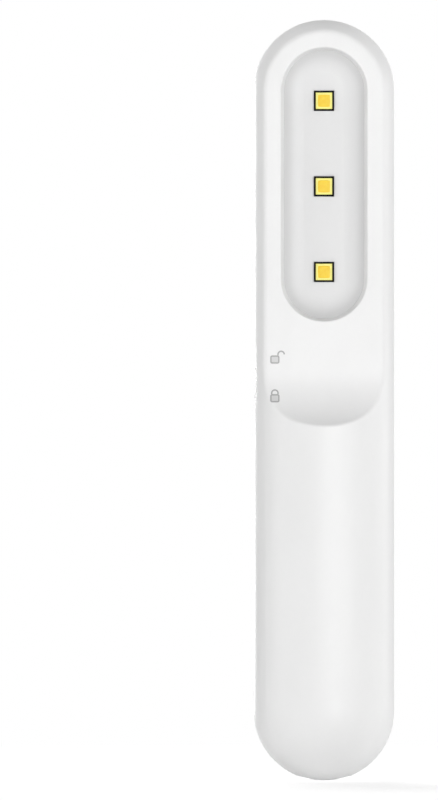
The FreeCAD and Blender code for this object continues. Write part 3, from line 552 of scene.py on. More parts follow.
@dataclass(frozen=True)
class BeadPlastic(MouldedPlastic):
    """Moulded plastic of a ring, with painted shade along both edges of its bead."""

    centre: Point = (0.0, 0.0)
    middle: float = 1.0 * MM  # radius at the top of the bead
    half: float = 0.1 * MM  # half the width of the ring
    # painted shade at the bead's edges: share of the colour left there, and where it starts and ends
    painted_edge_shade: float = 0.87
    painted_edge_band: Point = (0.2, 0.8)  # shares of the half width

    def tinted(self, graph: Graph, place: Signal, colour: Signal) -> Signal:
        """Colour with the painted shade at the edges.

        Args:
            graph: Node tree of the material.
            place: Place on the ring.
            colour: Colour without the painted shade.

        Returns:
            The colour.
        """
        aside = abs(graph.away(place, self.centre) - self.middle)
        share = aside.ramp(*(part * self.half for part in self.painted_edge_band))
        return graph.blend(share, colour, shaded(self.colour, self.painted_edge_shade))


@dataclass(frozen=True)
class PrintInk(Finish):
    """Pad-printed ink with a slightly uneven coverage."""

    relief: Relief = Relief(0.004 * MM, 0.4)
    specular: float = 0.3
    under: Colour = CASING_WHITE
    thin: Cloud = Cloud(0.09 * MM, band=(0.6, 0.85))
    loss: float = 0.35  # share of the colour under the ink where it is thinnest
    dulling: float = 0.15

    def look(self, graph: Graph, place: Signal) -> Look:
        """Cover of the ink, dull where it is thin."""
        thin = graph.noise(place, self.thin)
        return graph.blend(self.loss * thin, self.colour, self.under), self.dulling * thin, thin


@dataclass(frozen=True)
class LampSilicone(Finish):
    """Yellow silicone with fine phosphor grains in clouds."""

    roughness: float = 0.22
    relief: Relief = Relief(0.002 * MM, 0.4)
    specular: float = 0.25
    core: Colour = WHITE  # where grains and clouds are thin
    phosphor: float = 0.05 * MM
    cloud: Cloud = Cloud(0.6 * MM, 3.0, band=(0.3, 0.7))
    cloud_share: float = 0.5  # of the colour, the rest being grains
    dulling: float = 0.12

    def look(self, graph: Graph, place: Signal) -> Look:
        """Clouds of grains.

        Args:
            graph: Node tree of the material.
            place: Place on the piece.

        Returns:
            Colour, added roughness and height.
        """
        grains = graph.cells(place, self.phosphor)
        share = self.cloud_share * graph.noise(place, self.cloud) + (1.0 - self.cloud_share) * grains
        return graph.blend(share, self.core, self.colour), self.dulling * grains, grains


@dataclass(frozen=True)
class SheetMetal(Finish):
    """Rolled or drawn metal with fine lines along one axis."""

    relief: Relief = Relief(0.002 * MM, 0.4)
    metallic: float = 1.0
    lines: Spot = (1.0, 1.0, 0.04)
    line_width: float = 0.06 * MM
    line_matt: float = 0.12
    stain: Cloud = Cloud(2.5 * MM, 3.0, band=(0.4, 0.75))
    stain_share: float = 0.5
    stain_tone: float = 0.86
    stain_matt: float = 0.05

    def look(self, graph: Graph, place: Signal) -> Look:
        """Lines and stains.

        Args:
            graph: Node tree of the material.
            place: Place on the piece.

        Returns:
            Colour, added roughness and height.
        """
        strokes = graph.noise(place, Cloud(self.line_width, stretch=self.lines))
        stain = graph.noise(place, self.stain)
        colour = graph.blend(self.stain_share * stain, self.colour, shaded(self.colour, self.stain_tone))
        return colour, self.line_matt * strokes + self.stain_matt * stain, strokes


@dataclass(frozen=True)
class BoardMask(Finish):
    """Solder mask over copper tracks."""

    roughness: float = 0.32
    relief: Relief = Relief(0.02 * MM, 0.5)
    track: Colour = WHITE
    squeeze: Spot = (1.0, 0.2, 1.0)
    density: float = 260.0  # fields between tracks, in one metre
    track_width: float = 0.018  # in fields
    stagger: float = 0.37  # in fields
    weave: Cloud = Cloud(0.2 * MM, 1.0)
    weave_matt: float = 0.1

    def look(self, graph: Graph, place: Signal) -> Look:
        """Tracks, and the weave of the board.

        Args:
            graph: Node tree of the material.
            place: Place on the board.

        Returns:
            Colour, added roughness and height.
        """
        inputs = {
            "Vector": graph.stretched(place, self.squeeze),
            "Scale": self.density,
            "Mortar Size": self.track_width,
            "Color1": BLACK,
            "Color2": BLACK,
            "Mortar": WHITE,
        }
        tracks = graph.signal("ShaderNodeTexBrick", {"offset": self.stagger}, inputs, "Color")
        matt = self.weave_matt * graph.noise(place, self.weave)
        return graph.blend(tracks, self.colour, self.track), matt, tracks


@dataclass(frozen=True)
class ClearPlastic(Finish):
    """Milky light-guide plastic with a faint shine of its own, and its lamp's glow painted brighter into
    the colour of its middle.
    """

    roughness: float = 0.42
    relief: Relief = Relief(0.003 * MM, 0.3)
    specular: float = 0.3
    shine: float = 0.06
    glow: Colour = WHITE
    centre: Point = (0.0, 0.0)
    radius: float = 1.0 * MM
    core: float = 0.2  # share of the radius where the glow is full
    haze: Cloud = Cloud(0.15 * MM)
    haze_matt: float = 0.1

    def look(self, graph: Graph, place: Signal) -> Look:
        """Painted glow and haze.

        Args:
            graph: Node tree of the material.
            place: Place on the piece.

        Returns:
            Colour, added roughness and height.
        """
        middle = 1.0 - graph.away(place, self.centre).ramp(self.core * self.radius, self.radius)
        haze = graph.noise(place, self.haze)
        return graph.blend(middle, self.colour, self.glow), self.haze_matt * haze, haze


@dataclass(frozen=True)
class Film(Finish):
    """Shrink film or insulation with faint creases."""

    relief: Relief = Relief(0.03 * MM, 0.3)
    creases: Cloud = Cloud(1.6 * MM, 4.0, (1.0, 1.0, 0.2))
    crease_matt: float = 0.1
    tones: Point = (0.88, 1.1)
    tone_band: Point = (0.3, 0.7)

    def look(self, graph: Graph, place: Signal) -> Look:
        """Creases, and the tones that they give.

        Args:
            graph: Node tree of the material.
            place: Place on the piece.

        Returns:
            Colour, added roughness and height.
        """
        creases = graph.noise(place, self.creases)
        dark, light = (shaded(self.colour, tone) for tone in self.tones)
        return graph.blend(creases.ramp(*self.tone_band), dark, light), self.crease_matt * creases, creases


SWITCH_BLACK = MouldedPlastic("black_switch_plastic", opaque(0.02, 0.02, 0.021), 0.5)


class Paints:
    """Materials made so far, one for each finish."""

    def __init__(self) -> None:
        """Start with none."""
        self.made: dict[str, bpy.types.Material] = {}

    def material(self, finish: Finish) -> bpy.types.Material:
        """Material of a finish, made on first use.

        Args:
            finish: The finish.

        Returns:
            Its material.
        """
        if finish.name not in self.made:
            self.made[finish.name] = finish.build()
        return self.made[finish.name]

    def dress(self, finish: Finish, *nodes: str) -> None:
        """Give solids of the frame a finish.

        Args:
            finish: The finish.
            nodes: Names of the solids.
        """
        for node in nodes:
            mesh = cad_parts[node].data
            mesh.materials.clear()
            mesh.materials.append(self.material(finish))
            LOG.info("dressed %s in %s", node, finish.name)


# Pieces made here


def new_piece(
    name: str,
    vertices: Sequence[Sequence[float]],
    faces: Sequence[Face],
    material: bpy.types.Material,
    body: Body,
) -> bpy.types.Object:
    """Add a piece that rides on a body.

    Args:
        name: Name of the piece.
        vertices: Points in the frame of the wand.
        faces: Faces by point numbers.
        material: Material of the piece.
        body: Body that it rides on.

    Returns:
        The piece.
    """
    mesh = bpy.data.meshes.new(name)
    mesh.from_pydata(vertices, [], faces)
    mesh.validate()
    mesh.materials.append(material)
    mesh.polygons.foreach_set("use_smooth", [True] * len(mesh.polygons))
    mesh.set_sharp_from_angle(angle=SHARP_ANGLE)
    piece = bpy.data.objects.new(name, mesh)
    bpy.context.scene.collection.objects.link(piece)
    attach(piece, body.value)
    LOG.info("built %s with %d faces on %s", name, len(faces), body.value)
    return piece


def turned(
    steps: int,
    along: float,
    section: Callable[[float], Sequence[Point]],
) -> tuple[list[Spot], list[Face]]:
    """Closed ring turned about a line through the wand.

    Args:
        steps: Facets around the ring.
        along: Height of the ring's middle.
        section: Radius and level of each point of the ring's section, by the angle of the section.

    Returns:
        Points and faces.
    """
    vertices: list[Spot] = []
    faces: list[Face] = []
    for step in range(steps):
        angle = 2 * math.pi * step / steps
        points = section(angle)
        for reach, level in points:
            vertices.append((reach * math.cos(angle), level, along + reach * math.sin(angle)))
        count = len(points)
        here, there = step * count, (step + 1) % steps * count
        for number in range(count):
            nearby = (number + 1) % count
            faces.append((here + number, here + nearby, there + nearby, there + number))
    return vertices, faces


@dataclass(frozen=True)
class Stroke:
    """Printed line in the plane of a sign."""

    path: tuple[Point, ...]  # across and up, from the middle of the sign
    width: float
    closed: bool = False


def arc(centre: Point, radius: float, start: float, end: float, count: int) -> tuple[Point, ...]:
    """Points along an arc.

    Args:
        centre: Middle of the arc.
        radius: Radius of the arc.
        start: First angle, in degrees.
        end: Last angle, in degrees.
        count: Number of steps.

    Returns:
        The points, both ends included.
    """
    angles = [math.radians(start + (end - start) * step / count) for step in range(count + 1)]
    return tuple((centre[0] + radius * math.cos(a), centre[1] + radius * math.sin(a)) for a in angles)


def rounded_box(centre: Point, width: float, height: float, corner: float) -> tuple[Point, ...]:
    """Outline of a rectangle with round corners, counter-clockwise.

    Args:
        centre: Middle of the rectangle.
        width: Its width.
        height: Its height.
        corner: Radius of its corners.

    Returns:
        The points.
    """
    points: list[Point] = []
    for number, (right, up) in enumerate(((1, 1), (-1, 1), (-1, -1), (1, -1))):
        middle = (centre[0] + right * (width / 2 - corner), centre[1] + up * (height / 2 - corner))
        points += arc(middle, corner, 90 * number, 90 * number + 90, CORNER_STEPS)
    return tuple(points)


@dataclass
class SignPress:
    """Prints thin signs on the surface of a solid."""

    carrier: str  # solid under the sign
    facing: Facing
    body: Body
    slot: str = "ring_grey"
    lead: float = 40 * MM  # distance in front of the wand from which the surface is felt for
    step: float = 0.09 * MM  # longest side of a printed facet
    film: float = 0.012 * MM  # thickness above the surface
    root: float = 0.006 * MM  # depth below the surface

    def __post_init__(self) -> None:
        """Read the carrier's surface."""
        graph = bpy.context.evaluated_depsgraph_get()
        self.surface = BVHTree.FromObject(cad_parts[self.carrier], graph)
        self.out = Vector(self.facing.value)

    def touch(self, across: float, along: float) -> tuple[Vector, Vector]:
        """Point of the surface above a place.

        Args:
            across: Place along X.
            along: Place along Z.

        Returns:
            The point and the outward normal.
        """
        start = Vector((across, 0.0, along)) + self.out * self.lead
        point, normal, _, _ = self.surface.ray_cast(start, -self.out)
        if point is None:
            raise ValueError(f"no surface of {self.carrier} at {across:.5f}, {along:.5f}")
        return point, normal if normal.dot(self.out) > 0 else -normal

    def stations(self, stroke: Stroke) -> list[Vector]:
        """Points of a stroke, near enough for a curved surface.

        Args:
            stroke: The stroke.

        Returns:
            Points no further apart than the step.
        """
        corners = [Vector((x, y)) for x, y in stroke.path]
        ends = corners[1:] + corners[:1] if stroke.closed else corners[1:]
        points: list[Vector] = []
        for first, second in zip(corners, ends):
            count = max(1, math.ceil((second - first).length / self.step))
            points += [first.lerp(second, number / count) for number in range(count)]
        if not stroke.closed:
            points.append(corners[-1])
        return points

    def ribbon(self, stroke: Stroke, middle: Point, vertices: list[Vector], faces: list[Face]) -> None:
        """Add one stroke as a closed thin band that follows the surface.

        Args:
            stroke: The stroke.
            middle: Place of the sign, X and Z.
            vertices: Points so far, added to.
            faces: Faces so far, added to.
        """
        points = self.stations(stroke)
        count = len(points)
        rows = max(2, math.ceil(stroke.width / self.step))
        base = len(vertices)
        ring = 2 * (rows + 1)
        for number, point in enumerate(points):
            before = points[number - 1] if stroke.closed or number else point
            after = points[(number + 1) % count] if stroke.closed or number + 1 < count else point
            along = (after - before).normalized()
            side = Vector((-along.y, along.x))
            spots = []
            for row in range(rows + 1):
                spot = point + side * stroke.width * (row / rows - 0.5)
                spots.append(self.touch(middle[0] + spot.x, middle[1] + spot.y))
            vertices += [spot + normal * self.film for spot, normal in spots]
            vertices += [spot - normal * self.root for spot, normal in reversed(spots)]
        links = count if stroke.closed else count - 1
        for number in range(links):
            here = base + number * ring
            there = base + (number + 1) % count * ring
            for row in range(ring):
                nearby = (row + 1) % ring
                faces.append((here + row, there + row, there + nearby, here + nearby))
        if not stroke.closed:
            self.cap(base, rows, faces)
            self.cap(base + links * ring, rows, faces)

    @staticmethod
    def cap(start: int, rows: int, faces: list[Face]) -> None:
        """Close the end of a band.

        Args:
            start: Number of the end's first point.
            rows: Facets across the band.
            faces: Faces so far, added to.
        """
        last = start + 2 * rows + 1
        for row in range(rows):
            faces.append((start + row, start + row + 1, last - row - 1, last - row))

    def printed(
        self,
        name: str,
        strokes: Sequence[Stroke],
        middle: Point,
        ink: bpy.types.Material,
    ) -> None:
        """Print a sign.

        Args:
            name: Name of the sign.
            strokes: Its lines.
            middle: Its place, X and Z.
            ink: Its material.
        """
        vertices: list[Vector] = []
        faces: list[Face] = []
        for stroke in strokes:
            self.ribbon(stroke, middle, vertices, faces)
        new_piece(name, vertices, faces, ink, self.body)


# Sub-assemblies


@dataclass
class SubAssembly:
    """Group of the wand's pieces."""

    paints: Paints

    def dress(self) -> None:
        """Give the group's solids their finishes."""
        raise NotImplementedError

    def build(self) -> None:
        """Add the group's made pieces, none where its solids are all there is."""


@dataclass
class Casing(SubAssembly):
    """Two halves of the casing."""

    # painted glow of the indicator in the front half's colour, and its reach
    glow: Colour = opaque(0.87, 0.94, 0.58)
    glow_reach: float = 1.4 * MM

    def dress(self) -> None:
        """Give both halves the satin white of the wand, with the indicator's glow painted into the front
        half's colour.
        """
        satin = {"colour": CASING_WHITE, "roughness": 0.42, "specular": 0.5}
        self.paints.dress(HeadPlastic("satin_white_rear", axis=-CROWN_CENTRE, **satin), "rear_shell")
        low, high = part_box("indicator_light_pipe")
        light = ((low.x + high.x) / 2, (low.z + high.z) / 2)
        lit = {"glow": self.glow, "light": light, "reach": self.glow_reach}
        self.paints.dress(LitPlastic("satin_white_front", axis=CROWN_CENTRE, **lit, **satin), "front_shell")


@dataclass
class PowerKey(SubAssembly):
    """Round power button with its ring and printed sign."""

    along: float = 5.0 * MM
    sign_radius: float = 1.92 * MM  # at the middle of the line
    sign_line: float = 0.52 * MM
    sign_steps: int = 72
    bar_width: float = 0.6 * MM
    bar_length: float = 2.3 * MM
    ring_inner: float = 5.7 * MM
    ring_outer: float = 6.49 * MM
    bead: float = 0.2 * MM  # drop from the casing's crown to the ring's edges
    bead_top: float = 0.05  # share of that drop at the top of the bead
    bead_power: int = 3  # by which the bead falls towards its edges
    ring_steps: int = 128
    bead_steps: int = 12

    def dress(self) -> None:
        """Give the button and the switch under it their finishes."""
        satin = MouldedPlastic("satin_white_button", opaque(0.88, 0.88, 0.878), 0.42, specular=0.5)
        self.paints.dress(satin, "power_button")
        self.paints.dress(SWITCH_BLACK, "tact_switch_case", "tact_switch_plunger")
        steel = SheetMetal("switch_cover_steel", opaque(0.62, 0.62, 0.64), 0.3)
        self.paints.dress(steel, "tact_switch_cover")

    def build(self) -> None:
        """Turn the ring and print the power sign on the button."""
        self.ring()
        self.sign()

    def ring(self) -> None:
        """Turn the ring, with a low bead along its top that follows the casing."""
        _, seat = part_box("button_ring")
        vertices, faces = turned(self.ring_steps, self.along, partial(self.section, seat.y))
        middle = (self.ring_inner + self.ring_outer) / 2
        half = (self.ring_outer - self.ring_inner) / 2
        bead = {"centre": (0.0, self.along), "middle": middle, "half": half}
        # The ring's finish paints shade along both edges of the bead.
        finish = BeadPlastic("pale_grey_ring", grey(0.64), 0.36, grain=0.1 * MM, specular=0.45, **bead)
        paint = self.paints.material(finish)
        ring = new_piece("button_bead_ring", vertices, faces, paint, Body.CASING)
        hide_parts("button_ring")

    def section(self, seat: float, angle: float) -> list[Point]:
        """Section of the ring.

        Args:
            seat: Level of the ring's foot.
            angle: Angle of the section around the button.

        Returns:
            Radius and level of each point.
        """
        middle = (self.ring_inner + self.ring_outer) / 2
        half = (self.ring_outer - self.ring_inner) / 2
        points: list[Point] = []
        for number in range(self.bead_steps + 1):
            share = 2.0 * number / self.bead_steps - 1.0
            reach = middle + half * share
            crown = CROWN_CENTRE - math.sqrt(CROWN_RADIUS ** 2 - (reach * math.cos(angle)) ** 2)
            drop = self.bead_top + (1.0 - self.bead_top) * abs(share) ** self.bead_power
            points.append((reach, crown + self.bead * drop))
        return [*points, (self.ring_outer, seat), (self.ring_inner, seat)]

    def sign(self) -> None:
        """Print the circle and bar of the power sign on the button."""
        ink = self.paints.material(PrintInk("grey_sign_ink", grey(0.58)))
        path = arc((0.0, 0.0), self.sign_radius, 0, 360, self.sign_steps)[:-1]
        reach = self.bar_length / 2
        bar = Stroke(((0.0, -reach), (0.0, reach)), self.bar_width)
        press = SignPress("power_button", Facing.BUTTON_SIDE, Body.BUTTON)
        press.printed("power_sign", (Stroke(path, self.sign_line, True), bar), (0.0, self.along), ink)


@dataclass
class SideLock(SubAssembly):
    """Lock slider with its switch and the two padlock signs beside it."""

    across: float = 8.4 * MM
    open_along: float = 7.0 * MM
    closed_along: float = 0.4 * MM
    lock_width: float = 1.34 * MM
    lock_height: float = 1.16 * MM
    lock_corner: float = 0.2 * MM
    line: float = 0.24 * MM
    gap: float = 0.01 * MM  # between printed lines that would touch
    bow: float = 0.4  # radius of the shackle, in widths of the case
    bow_steps: int = 24
    leg: float = 0.16 * MM  # straight length of the shackle
    swing: float = 0.8  # of the open shackle, in widths of the case

    def dress(self) -> None:
        """Give the slider and its switch their finishes."""
        grip = MouldedPlastic("grey_slider", grey(0.6), 0.46, grain=0.12 * MM)
        self.paints.dress(grip, "lock_slider")
        self.paints.dress(SWITCH_BLACK, "slide_switch_lever")
        steel = SheetMetal("switch_can_steel", opaque(0.62, 0.62, 0.64), 0.28)
        self.paints.dress(steel, "slide_switch_case")

    def padlock(self, shift: float) -> tuple[Stroke, ...]:
        """Lines of a padlock.

        Args:
            shift: How far the shackle is swung to the viewer's right; 0 is a closed padlock.

        Returns:
            Case and shackle.
        """
        outline = rounded_box((0.0, 0.0), self.lock_width, self.lock_height, self.lock_corner)
        radius = self.lock_width * self.bow
        foot = (self.lock_height + self.line) / 2 + self.gap
        path = (*arc((-shift, foot + self.leg), radius, 180, 0, self.bow_steps), (radius - shift, foot))
        shackle = path if shift else ((-radius, foot), *path)
        return Stroke(outline, self.line, True), Stroke(shackle, self.line)

    def build(self) -> None:
        """Print the open and the closed padlock on the lamp side."""
        ink = self.paints.material(PrintInk("grey_lock_ink", grey(0.42)))
        tint = self.paints.material(PrintInk("pale_lock_tint", grey(0.68)))
        press = SignPress("rear_shell", Facing.LAMP_SIDE, Body.CASING)
        reach = (self.lock_height - self.line) / 2 - self.gap
        fill = Stroke(((0.0, -reach), (0.0, reach)), self.lock_width - self.line - 2 * self.gap)
        swung = self.lock_width * self.swing
        signs = (
            ("open_padlock_sign", swung, self.open_along),
            ("closed_padlock_sign", 0.0, self.closed_along),
        )
        for name, shift, along in signs:
            press.printed(name, self.padlock(shift), (self.across, along), ink)
            press.printed(f"{name}_tint", (fill,), (self.across, along), tint)


@dataclass
class Indicator(SubAssembly):
    """Light guide above the button, the lip that seals it and the lamp under it."""

    along: float = 16.27 * MM
    lip_inner: float = 0.482 * MM
    lip_outer: float = 0.527 * MM
    lip_depth: float = 0.6 * MM
    lip_sink: float = 0.006 * MM  # of the lip's crown under the end of the light guide
    lip_steps: int = 64
    lip_rows: int = 4

    def guide(self) -> ClearPlastic:
        """Finish of the light guide and its lip."""
        light = {"glow": opaque(0.83, 0.9, 0.46), "centre": (0.0, self.along), "radius": self.lip_outer}
        return ClearPlastic("pale_green_guide", opaque(0.82, 0.88, 0.56), **light)

    def dress(self) -> None:
        """Give the light guide and its lamp their finishes."""
        self.paints.dress(self.guide(), "indicator_light_pipe")
        self.paints.dress(MouldedPlastic("indicator_lens", opaque(0.8, 0.82, 0.6), 0.25), "indicator_led")

    def build(self) -> None:
        """Turn the lip between the light guide and the casing, with a low crown along its top."""
        end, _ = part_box("indicator_light_pipe")
        section: list[Point] = []
        for row in range(self.lip_rows + 1):
            share = row / self.lip_rows
            reach = self.lip_inner + (self.lip_outer - self.lip_inner) * share
            section.append((reach, end.y + self.lip_sink * (1.0 + (2.0 * share - 1.0) ** 2)))
        section += [(reach, end.y + self.lip_depth) for reach in (self.lip_outer, self.lip_inner)]
        vertices, faces = turned(self.lip_steps, self.along, lambda angle: section)
        paint = self.paints.material(self.guide())
        new_piece("indicator_lip", vertices, faces, paint, Body.CASING)


@dataclass
class LampHead(SubAssembly):
    """Reflector tray with the three UV lamps."""

    lamps: int = 3
    dish_depth: float = 1.2 * MM
    die_half: float = 1.04 * MM
    die_rise: float = 0.06 * MM
    die_edge: float = 0.35  # share of the rise at the die's edge
    die_root: float = 0.02 * MM  # depth of the die's foot in the silicone
    die_pull: float = 0.06  # share by which the corners are drawn in
    die_power: int = 8  # by which the crown falls towards the edge
    die_steps: int = 24

    def dress(self) -> None:
        """Give the tray, the lamp frames, their silicone and their board a finish."""
        _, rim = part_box("reflector_tray")
        levels = {"floor": rim.y - self.dish_depth, "rim": rim.y}
        # The tray's finish paints shade that darkens its dish towards the rim.
        tray = DishPlastic("pale_grey_tray", grey(0.775), 0.4, grain=0.12 * MM, **levels)
        self.paints.dress(tray, "reflector_tray")
        dark = opaque(0.004, 0.0035, 0.003)
        black = MouldedPlastic("black_lamp_ceramic", dark, 0.5, grain=0.06 * MM, specular=0.08)
        core = opaque(0.96, 0.88, 0.18)
        silicone = LampSilicone("pale_lamp_silicone", opaque(0.98, 0.93, 0.26), core=core)
        for finish, stem in ((black, "uv_led_base"), (silicone, "uv_led_window")):
            self.paints.dress(finish, *(f"{stem}_{number + 1}" for number in range(self.lamps)))
        mask = BoardMask("white_lamp_mask", opaque(0.78, 0.78, 0.77), track=opaque(0.7, 0.7, 0.69))
        self.paints.dress(mask, "led_board")

    def build(self) -> None:
        """Set an amber die on the silicone of each lamp."""
        core = opaque(0.94, 0.6, 0.03)
        amber = LampSilicone("amber_lamp_die", opaque(0.96, 0.7, 0.05), 0.3, core=core)
        paint = self.paints.material(amber)
        faces = self.die_faces()
        for number in range(self.lamps):
            low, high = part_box(f"uv_led_window_{number + 1}")
            middle = ((low.x + high.x) / 2, high.y, (low.z + high.z) / 2)
            name = f"uv_led_die_{number + 1}"
            new_piece(name, self.die_points(middle), faces, paint, Body.CASING)

    def die_points(self, middle: Spot) -> list[Spot]:
        """Points of a low square cushion with round corners.

        Args:
            middle: Middle of its foot.

        Returns:
            Rows of the crown, then rows of the foot.
        """
        points: list[Spot] = []
        shares = [2.0 * step / self.die_steps - 1.0 for step in range(self.die_steps + 1)]
        for level in (1.0, 0.0):
            for v in shares:
                for u in shares:
                    reach = self.die_half * (1.0 - self.die_pull * (u * v) ** 2)
                    crown = (1.0 - u ** self.die_power) * (1.0 - v ** self.die_power)
                    top = self.die_rise * (self.die_edge + (1.0 - self.die_edge) * crown)
                    rise = top * level - self.die_root * (1.0 - level)
                    points.append((middle[0] + reach * u, middle[1] + rise, middle[2] + reach * v))
        return points

    def die_faces(self) -> list[Face]:
        """Faces of the cushion: crown, foot and the band around them.

        Returns:
            Faces by point numbers.
        """
        steps = self.die_steps
        row_length = steps + 1
        sheet = row_length * row_length
        faces: list[Face] = []
        for row in range(steps):
            for column in range(steps):
                corner = row * row_length + column
                top = (corner, corner + row_length, corner + row_length + 1, corner + 1)
                faces.append(top)
                faces.append(tuple(sheet + index for index in reversed(top)))
        border = list(range(steps))
        border += [row * row_length + steps for row in range(steps)]
        border += [steps * row_length + column for column in range(steps, 0, -1)]
        border += [row * row_length for row in range(steps, 0, -1)]
        for first, second in zip(border, border[1:] + border[:1]):
            faces.append((first, second, sheet + second, sheet + first))
        return faces


@dataclass
class ChargePort(SubAssembly):
    """Charging port in the bottom end."""

    contacts: int = 12  # on each side of the tongue
    pitch: float = 0.5 * MM
    width: float = 0.26 * MM
    height: float = 0.03 * MM
    foot: float = -0.2  # level of a contact's foot, in heights
    shoulder: float = 0.3  # level where the shoulders start, in heights
    nose: float = 0.35 * MM  # from the tongue's end
    nose_length: float = 0.12 * MM
    nose_share: float = 0.1  # share of the height at the tip of the nose
    root: float = 3.4 * MM  # from the tongue's end

    def dress(self) -> None:
        """Give the port its finishes."""
        self.paints.dress(SheetMetal("port_steel", opaque(0.66, 0.66, 0.68), 0.24), "usb_port_shell")
        black = MouldedPlastic("black_port_tongue", opaque(0.015, 0.015, 0.016), 0.45)
        self.paints.dress(black, "usb_port_tongue")

    def build(self) -> None:
        """Lay gilt contacts along both faces of the tongue."""
        gilt = self.paints.material(SheetMetal("gilt_contact", opaque(0.83, 0.62, 0.28), 0.22))
        low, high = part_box("usb_port_tongue")
        vertices: list[Spot] = []
        faces: list[Face] = []
        for face, sign in ((low.y, -1.0), (high.y, 1.0)):
            for number in range(self.contacts):
                middle = (number - (self.contacts - 1) / 2) * self.pitch
                self.strip((middle, face, low.z), sign, vertices, faces)
        new_piece("usb_port_contacts", vertices, faces, gilt, Body.CASING)

    def strip(self, start: Spot, sign: float, vertices: list[Spot], faces: list[Face]) -> None:
        """Add one contact with chamfered shoulders and a ramped nose.

        Args:
            start: Middle of the contact on the tongue's face, at the tongue's end.
            sign: Outward direction of that face along Y.
            vertices: Points so far, added to.
            faces: Faces so far, added to.
        """
        middle, face, end = start
        base = len(vertices)
        half = self.width / 2
        crown = half - self.height
        rise = ((-half, self.foot), (-half, self.shoulder), (-crown, 1.0))
        profile = (*rise, *((-across, level) for across, level in reversed(rise)))
        tip = end + self.nose
        levels = ((tip, self.nose_share), (tip + self.nose_length, 1.0), (end + self.root, 1.0))
        for along, share in levels:
            for across, level in profile:
                vertices.append((middle + across, face + sign * self.height * level * share, along))
        count = len(profile)
        for lower in range(base, base + count * (len(levels) - 1), count):
            upper = lower + count
            for corner in range(count):
                nearby = (corner + 1) % count
                quad = (lower + corner, lower + nearby, upper + nearby, upper + corner)
                faces.append(quad if sign < 0 else quad[::-1])
        tips = tuple(range(base, base + count))
        roots = tuple(index + count * (len(levels) - 1) for index in tips)
        faces += [tips[::-1], roots] if sign < 0 else [tips, roots[::-1]]


@dataclass
class Inside(SubAssembly):
    """Boards, cell, leads and screws inside the casing."""

    def dress(self) -> None:
        """Give every inner solid its finish."""
        dress = self.paints.dress
        mask = BoardMask("green_board_mask", opaque(0.02, 0.12, 0.05), track=opaque(0.04, 0.2, 0.08))
        dress(mask, "main_board", "charge_board")
        screws = SheetMetal("screw_steel", opaque(0.6, 0.6, 0.62), 0.3, lines=(1.0, 0.1, 1.0))
        dress(screws, "led_board_screw", "main_board_screws", "charge_board_screws")
        resin = MouldedPlastic("black_chip_resin", opaque(0.018, 0.018, 0.02), 0.55)
        dress(resin, "driver_chip", "charge_chip")
        dress(MouldedPlastic("ferrite_grey", opaque(0.06, 0.06, 0.065), 0.6), "boost_inductor")
        dress(MouldedPlastic("capacitor_tan", opaque(0.42, 0.27, 0.14), 0.4), "capacitors")
        dress(Film("blue_cell_sleeve", opaque(0.05, 0.16, 0.42), 0.28), "battery_cell")
        dress(SheetMetal("nickel_tab", opaque(0.68, 0.65, 0.6), 0.3), "battery_tabs")
        insulation = Film("red_lead_insulation", opaque(0.42, 0.02, 0.015), 0.45)
        dress(insulation, "battery_leads", "charge_leads", "led_leads")


# Studio


@dataclass(frozen=True)
class SoftBox:
    """Rectangular lamp of the studio."""

    name: str
    spot: Spot
    width: float
    height: float
    power: float  # in watts
    mirrored: bool = True  # by glossy surfaces

    def build(self) -> None:
        """Set up the lamp, aimed at the middle of the wand."""
        light = bpy.data.lights.new(self.name, "AREA")
        light.shape = "RECTANGLE"
        light.size = self.width
        light.size_y = self.height
        light.energy = self.power
        lamp = bpy.data.objects.new(self.name, light)
        lamp.location = self.spot
        lamp.rotation_euler = (-Vector(self.spot)).to_track_quat("-Z", "Y").to_euler()
        lamp.visible_camera = False
        lamp.visible_glossy = self.mirrored
        bpy.context.scene.collection.objects.link(lamp)


